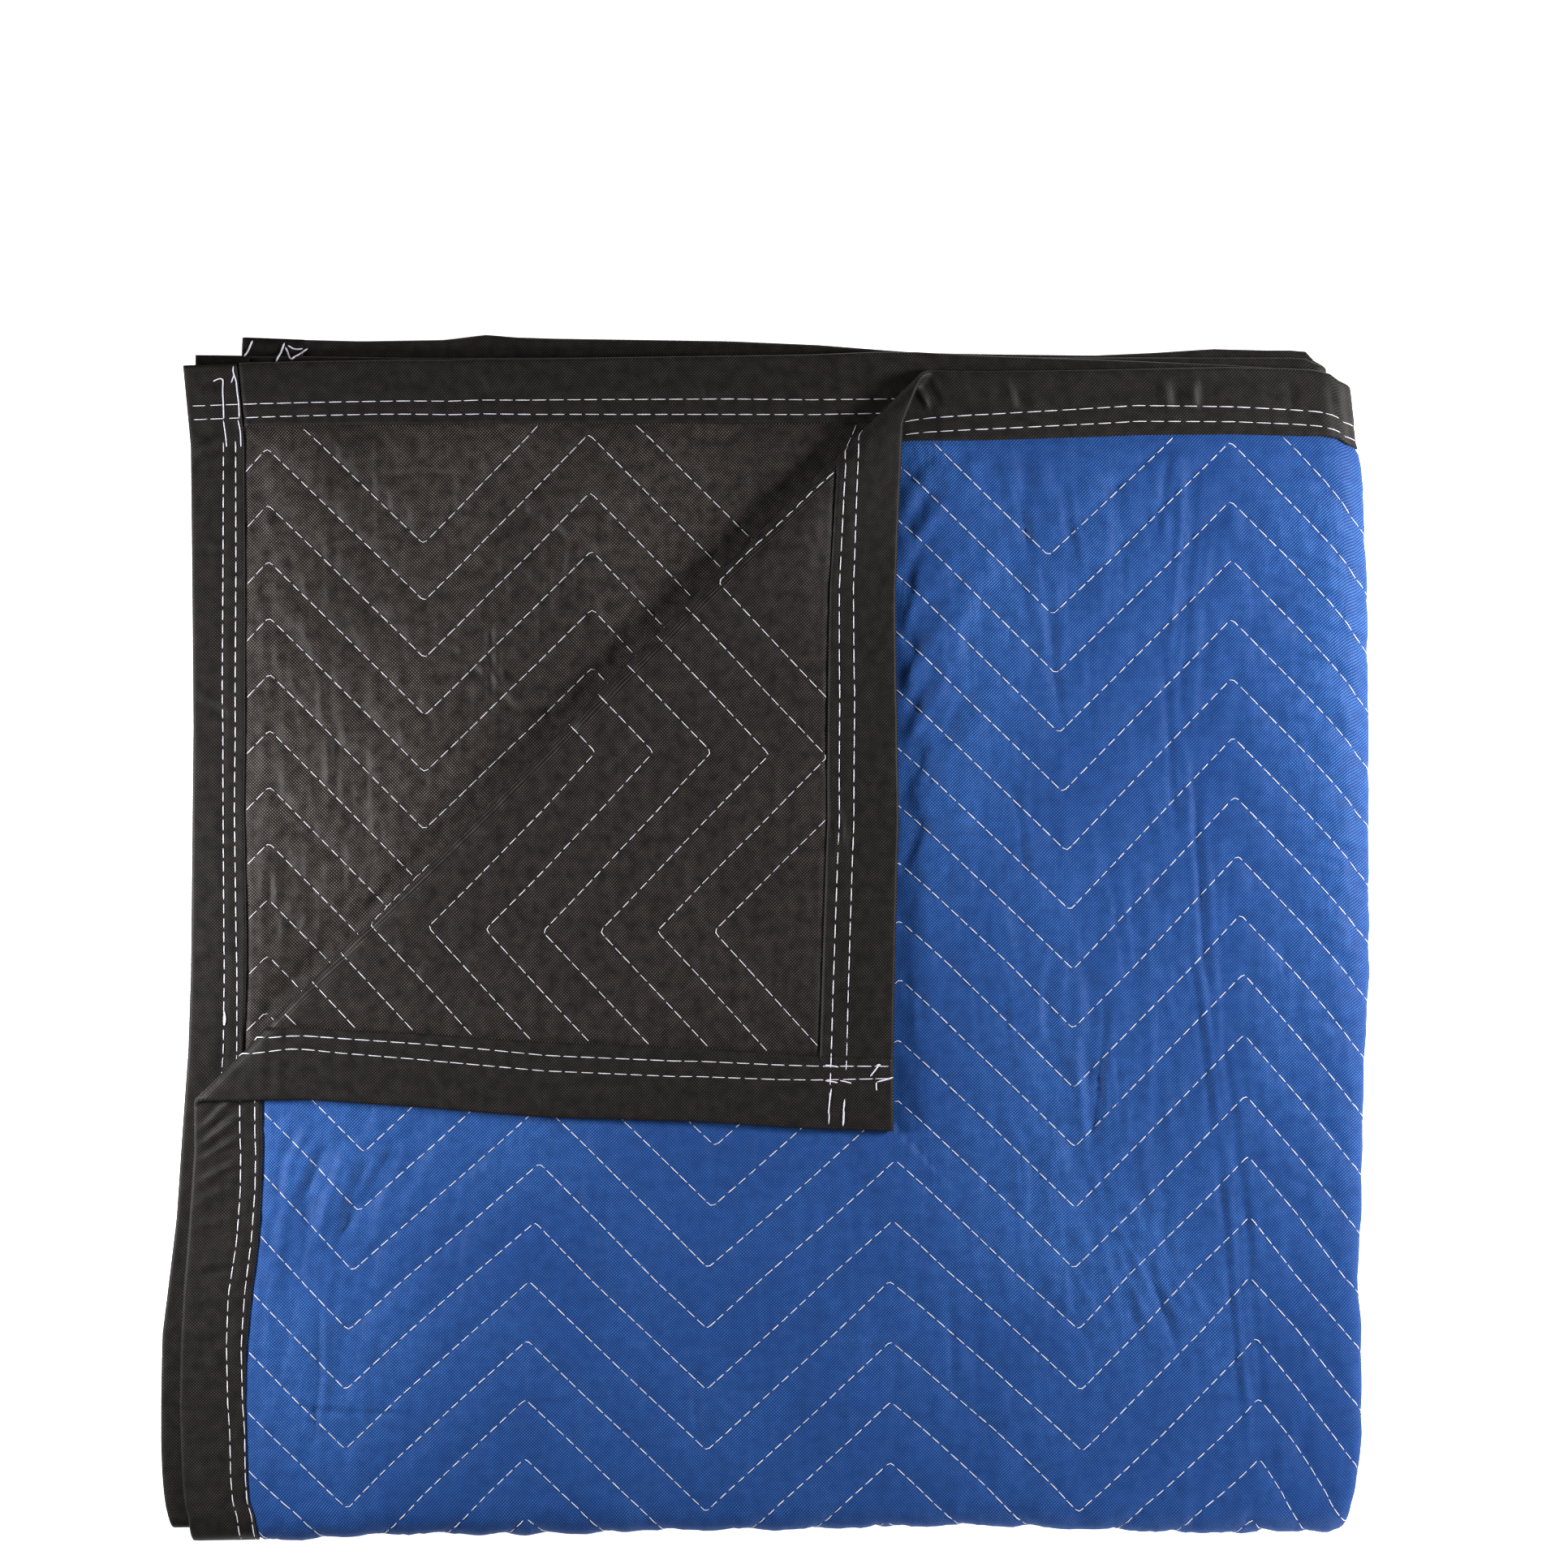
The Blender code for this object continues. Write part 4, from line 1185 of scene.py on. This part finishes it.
# Loose ends, knots and stitches sewn twice at the corners: half the thread's width, then its way
# over the folded blanket
looseThreads = (
    (0.55, ((88.6, -97.1), (86.6, -100.2), (81.4, -106.6))),
    (0.60, ((85.7, -99.1), (87.6, -97.1), (89.4, -97.9))),
    (0.60, ((86.9, -110.7), (93.8, -109.1), (99.0, -107.2))),
    (0.50, ((86.3, -111.0), (85.9, -113.7), (86.4, -117.6))),
    (0.55, ((46.9, -97.9), (51.9, -98.4), (56.9, -99.4))),
    (0.55, ((46.9, -109.9), (51.3, -110.3), (56.3, -111.4))),
    (0.55, ((58.2, -109.8), (61.9, -110.4), (66.9, -111.8))),
    (0.50, ((51.5, -116.0), (50.3, -124.2), (49.2, -135.4))),
    (0.50, ((61.4, -125.4), (60.8, -134.2), (60.4, -144.8))),
    (0.50, ((-417.2, 400.5), (-417.5, 411.9), (-418.1, 422.5), (-417.5, 431.6), (-421.6, 431.3),
            (-425.3, 429.1))),
    (0.50, ((-405.2, 401.5), (-405.6, 411.9), (-406.9, 421.3), (-407.5, 429.1), (-410.3, 436.9),
            (-409.7, 440.9))),
    (0.45, ((-411.3, 428.2), (-410.3, 431.3), (-409.4, 433.8))),
    (0.45, ((-417.4, 399.0), (-415.6, 386.2), (-415.0, 378.7))),
    (0.45, ((-406.1, 399.4), (-404.2, 390.0), (-403.9, 378.7))),
    (0.75, ((-417.1, -56.6), (-415.8, -62.2), (-416.8, -67.9))),
    (0.75, ((-395.9, 461.3), (-398.4, 455.1), (-401.9, 448.8))),
    (0.75, ((-371.2, 459.4), (-374.0, 451.9), (-377.5, 444.4))),
    (0.70, ((-370.3, 456.3), (-366.2, 445.7), (-362.8, 448.8), (-353.4, 455.1))),
    (0.60, ((-368.4, 457.6), (-363.4, 454.4), (-357.2, 455.1))),
)
looseEnd = {"step": 1.4, "fewest": 7, "lift": 0.0008, "flatness": 0.9}
shells = [
    BVHTree.FromObject(piece, bpy.context.evaluated_depsgraph_get())
    for piece in (faceCloth, backCloth, *bindings.values())
]


def topAt(x, y):
    # height of the uppermost surface, in metres
    heights = [0.0]
    for shell in shells:
        place = shell.ray_cast(Vector((x, y, 0.2)), Vector((0, 0, -1)))[0]
        if place:
            heights.append(place.z)
    return max(heights)


def looseEnds():
    groups = []
    for half, way in looseThreads:
        way = np.array(way)
        lengths = lineLengths(way)
        count = max(looseEnd["fewest"], round(lengths[-1] / looseEnd["step"]))
        places = np.linspace(0, lengths[-1], count)
        line = pointsAt(places, lengths, way)
        for _ in range(3):
            line[1:-1] = (line[:-2] + 2 * line[1:-1] + line[2:]) / 4
        line = line * 0.001
        height = np.array([topAt(x, y) for x, y in line])
        for _ in range(2):
            height[1:-1] = np.maximum(height[1:-1], (height[:-2] + height[2:]) / 2)
        middle = np.stack([line[:, 0], line[:, 1], height + half * looseEnd["lift"]], axis=-1)
        ahead = np.gradient(middle, axis=0)
        side = np.cross(ahead, (0, 0, 1.0))
        side /= np.linalg.norm(side, axis=-1, keepdims=True)
        taper = np.minimum(1, 0.45 + np.minimum(places, places[::-1]) / 2)[:, None, None] * half * 0.001
        ring = np.cos(ringTurns)[:, None] * side[:, None, :]
        ring = ring + np.sin(ringTurns)[:, None] * np.array((0, 0, looseEnd["flatness"]))
        groups.append((middle[:, None, :] + taper * ring)[None])
    return groups


tapeThread = threadMesh("binding_thread", tapeStitches() + looseEnds())
print("stitches made")


# Materials
def linear(code):
    # an sRGB hex code as linear colour
    parts = [int(code[i : i + 2], 16) / 255 for i in (1, 3, 5)]
    return (*(((c + 0.055) / 1.055) ** 2.4 if c > 0.04045 else c / 12.92 for c in parts), 1.0)


def addNode(tree, kind, output, inputs, **settings):
    # adds a node with its settings and links, and gives one of its outputs
    node = tree.nodes.new("ShaderNode" + kind)
    for key, value in settings.items():
        setattr(node, key, value)
    for key, value in inputs.items():
        if isinstance(value, bpy.types.NodeSocket):
            tree.links.new(value, node.inputs[key])
        else:
            node.inputs[key].default_value = value
    return node.outputs[output]


def newMaterial(name, roughness, extra=None):
    material = bpy.data.materials.new(name)
    material.use_nodes = True
    tree = material.node_tree
    shader = tree.nodes["Principled BSDF"]
    shader.inputs["Roughness"].default_value = roughness
    for key, value in (extra or {}).items():
        shader.inputs[key].default_value = value
    return material, tree, shader


def nonwoven(name, finish):
    # spunbonded cloth, pressed all over with a lattice of tiny points
    material, tree, shader = newMaterial(name, finish["roughness"], finish["shader"])
    place = addNode(tree, "UVMap", "UV", {}, uv_map="flat")
    flat = addNode(tree, "Mapping", "Vector", {"Vector": place, "Scale": (uvSpan,) * 3})  # in mm
    turned = addNode(tree, "Mapping", "Vector", {"Vector": flat, "Rotation": (0, 0, math.radians(45))})
    period = finish["lattice"] / math.sqrt(2)
    waves = [
        addNode(
            tree, "TexWave", "Fac", {"Vector": turned, "Scale": math.tau / 20 / period},
            wave_type="BANDS", bands_direction=direction,
        )
        for direction in ("X", "Y")
    ]
    patch = addNode(
        tree, "TexNoise", "Fac", {"Vector": flat, "Scale": 1 / finish["patchWide"], "Detail": 3.0}
    )
    product = addNode(tree, "Math", 0, {0: waves[0], 1: waves[1]}, operation="MULTIPLY")
    product = addNode(tree, "Math", 0, {0: product, 1: 1.4}, operation="POWER")
    twill = addNode(tree, "Mix", 0, {0: finish["twill"], 2: product, 3: waves[0]})
    rumpleAndGlint = addNode(tree, "Attribute", "Fac", {}, attribute_name="rumpled_and_glint")
    strength = addNode(tree, "MapRange", 0, {0: patch, 1: 0.3, 2: 0.7, 3: finish["least"], 4: 1.0})
    # painted glint: the pressed points are drawn lighter where the attribute is high, which on the black
    # face means towards the left lamp
    glintAndHandling = addNode(tree, "Math", 0, {0: rumpleAndGlint, 1: 1.2, 2: 0.45}, operation="MULTIPLY_ADD")
    strength = addNode(tree, "Math", 0, {0: strength, 1: glintAndHandling}, operation="MULTIPLY")
    lattice = addNode(tree, "Math", 0, {0: twill, 1: strength}, operation="MULTIPLY")
    tint = addNode(
        tree, "TexNoise", "Fac",
        {"Vector": flat, "Scale": 1 / finish["tintWide"], "Detail": 6.0, "Roughness": 0.76},
    )
    tint = addNode(tree, "MapRange", 0, {0: tint, 1: 0.34, 2: 0.66, 3: 0.0, 4: 1.0})
    # small rumples from handling, long along the cloth, where the attribute says
    scale = (1 / finish["rumpleWide"], 1 / finish["rumpleLong"], 1)
    stretched = addNode(
        tree, "Mapping", "Vector",
        {"Vector": flat, "Rotation": (0, 0, math.radians(finish["lean"])), "Scale": scale},
    )
    rumple = addNode(
        tree, "TexNoise", "Fac",
        {"Vector": stretched, "Scale": 1.0, "Detail": 2.5, "Roughness": 0.55, "Distortion": 0.4},
    )
    rumple = addNode(tree, "Math", 0, {0: rumple, 1: rumpleAndGlint}, operation="MULTIPLY")
    dark, ground, light = (linear(finish[key]) for key in ("dark", "ground", "light"))
    ground = addNode(tree, "Mix", 2, {0: tint, 6: dark, 7: ground}, data_type="RGBA")
    # the pressed points take the lighter colour; on the black cloth and tape that colour is a painted
    # glint
    colour = addNode(tree, "Mix", 2, {0: lattice, 6: ground, 7: light}, data_type="RGBA")
    bump = addNode(
        tree, "Bump", "Normal", {"Height": rumple, "Strength": 1.0, "Distance": finish["rumples"]}
    )
    pressed = {"Height": lattice, "Strength": finish["bump"], "Distance": finish["pressDepth"]}
    bump = addNode(tree, "Bump", "Normal", {**pressed, "Normal": bump})
    tree.links.new(colour, shader.inputs["Base Color"])
    tree.links.new(bump, shader.inputs["Normal"])
    return material


# Both nonwovens have pressed points 1.9 mm apart, drawn 2.5 mm apart so that they show. Widths are
# in mm and depths in metres
nonwovenFinish = {
    "lattice": 2.5, "pressDepth": 0.0003, "bump": 0.6, "patchWide": 9, "tintWide": 26, "rumpleWide": 17,
}
# Polypropylene face cloth: matt with a faint sheen
blueFinish = {
    **nonwovenFinish, "dark": "#0A285A", "ground": "#0C2E66", "light": "#3F71B8", "roughness": 0.6,
    "twill": 0.25, "least": 0.5, "rumples": 0.0026, "lean": 0, "rumpleLong": 52,
    "shader": {"Sheen Weight": 0.02, "Sheen Roughness": 0.5, "Specular IOR Level": 0.12},
}
# Black nonwoven: soot black with a painted grey glint on each pressed point
blackFinish = {
    **nonwovenFinish, "dark": "#080606", "ground": "#0C0909", "light": "#6A615C", "roughness": 0.55,
    "twill": 0.05, "least": 0.25, "rumples": 0.0014, "lean": 22, "rumpleLong": 30,
    "shader": {"Sheen Weight": 0.01, "Sheen Roughness": 0.5, "Specular IOR Level": 0.13},
}
blueCloth = nonwoven("Spunbonded polypropylene, blue", blueFinish)
blackCloth = nonwoven("Spunbonded polypropylene, black", blackFinish)
# The tape is a black nonwoven too, its painted glints on the points a little duller
blackTape = nonwoven("Nonwoven tape, black", {**blackFinish, "light": "#605955"})
# Spun polyester thread: off-white, with a soft sheen from its fine hairs
thread, _, threadShader = newMaterial("Polyester thread, off-white", 0.45, {"Sheen Weight": 0.2})
threadShader.inputs["Base Color"].default_value = linear("#CBC9D2")

for piece, material in (
    (faceCloth, blueCloth), (backCloth, blackCloth), *((item, blackTape) for item in bindings.values()),
    (quiltingTop, thread), (quiltingUnder, thread), (tapeThread, thread),
):
    piece.data.materials.append(material)
print("materials made")

# What each piece stands for
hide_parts("quilted_panel")
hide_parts("quilted_panel")
for piece in (faceCloth, backCloth, quiltingTop, quiltingUnder):
    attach(piece, "root")
for name, piece in bindings.items():
    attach(piece, "root")
    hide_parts("binding_" + name)
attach(tapeThread, "root")

# Floor, light and camera
bpy.ops.mesh.primitive_plane_add(size=12, location=(0, 0, -0.0004))
floor = bpy.context.object
floor.name = "floor"
floorPaint, _, floorShader = newMaterial("White floor, lit from below", 0.8, {"Emission Strength": 0.9})
floorShader.inputs["Emission Color"].default_value = linear("#FFFFFF")
floorShader.inputs["Base Color"].default_value = linear("#FCFCFB")
floor.data.materials.append(floorPaint)

world = bpy.data.worlds.new("Soft white room")
bpy.context.scene.world = world
world.use_nodes = True
world.node_tree.nodes["Background"].inputs["Color"].default_value = (1, 1, 1, 1)
world.node_tree.nodes["Background"].inputs["Strength"].default_value = 0.2

lamps = {
    "right": {"place": (1.25, 0.35, 0.66), "size": 0.4, "power": 33.0},
    "left": {"place": (-0.98, 0.0, 0.42), "size": 0.3, "power": 16.5},
    "front": {"place": (0.8, -1.1, 0.36), "size": 0.4, "power": 9.0},
}
for name, lamp in lamps.items():
    bpy.ops.object.light_add(type="AREA", location=lamp["place"])
    light = bpy.context.object
    light.name = name + "_light"
    light.data.shape = "DISK"
    light.data.size = lamp["size"]
    light.data.energy = lamp["power"]
    light.visible_camera = False
    light.rotation_euler = (-Vector(lamp["place"])).to_track_quat("-Z", "Y").to_euler()

view = {"centre": (0.0150, 0.1185), "frameWidth": 1.2085, "height": 6.0, "top": 0.024}
bpy.ops.object.camera_add(location=(*view["centre"], view["height"] + view["top"]), rotation=(0, 0, 0))
camera = bpy.context.object
camera.data.sensor_width = 36.0
camera.data.lens = camera.data.sensor_width * view["height"] / view["frameWidth"]
bpy.context.scene.camera = camera
bpy.context.scene.view_settings.view_transform = "Standard"

print("camera set")
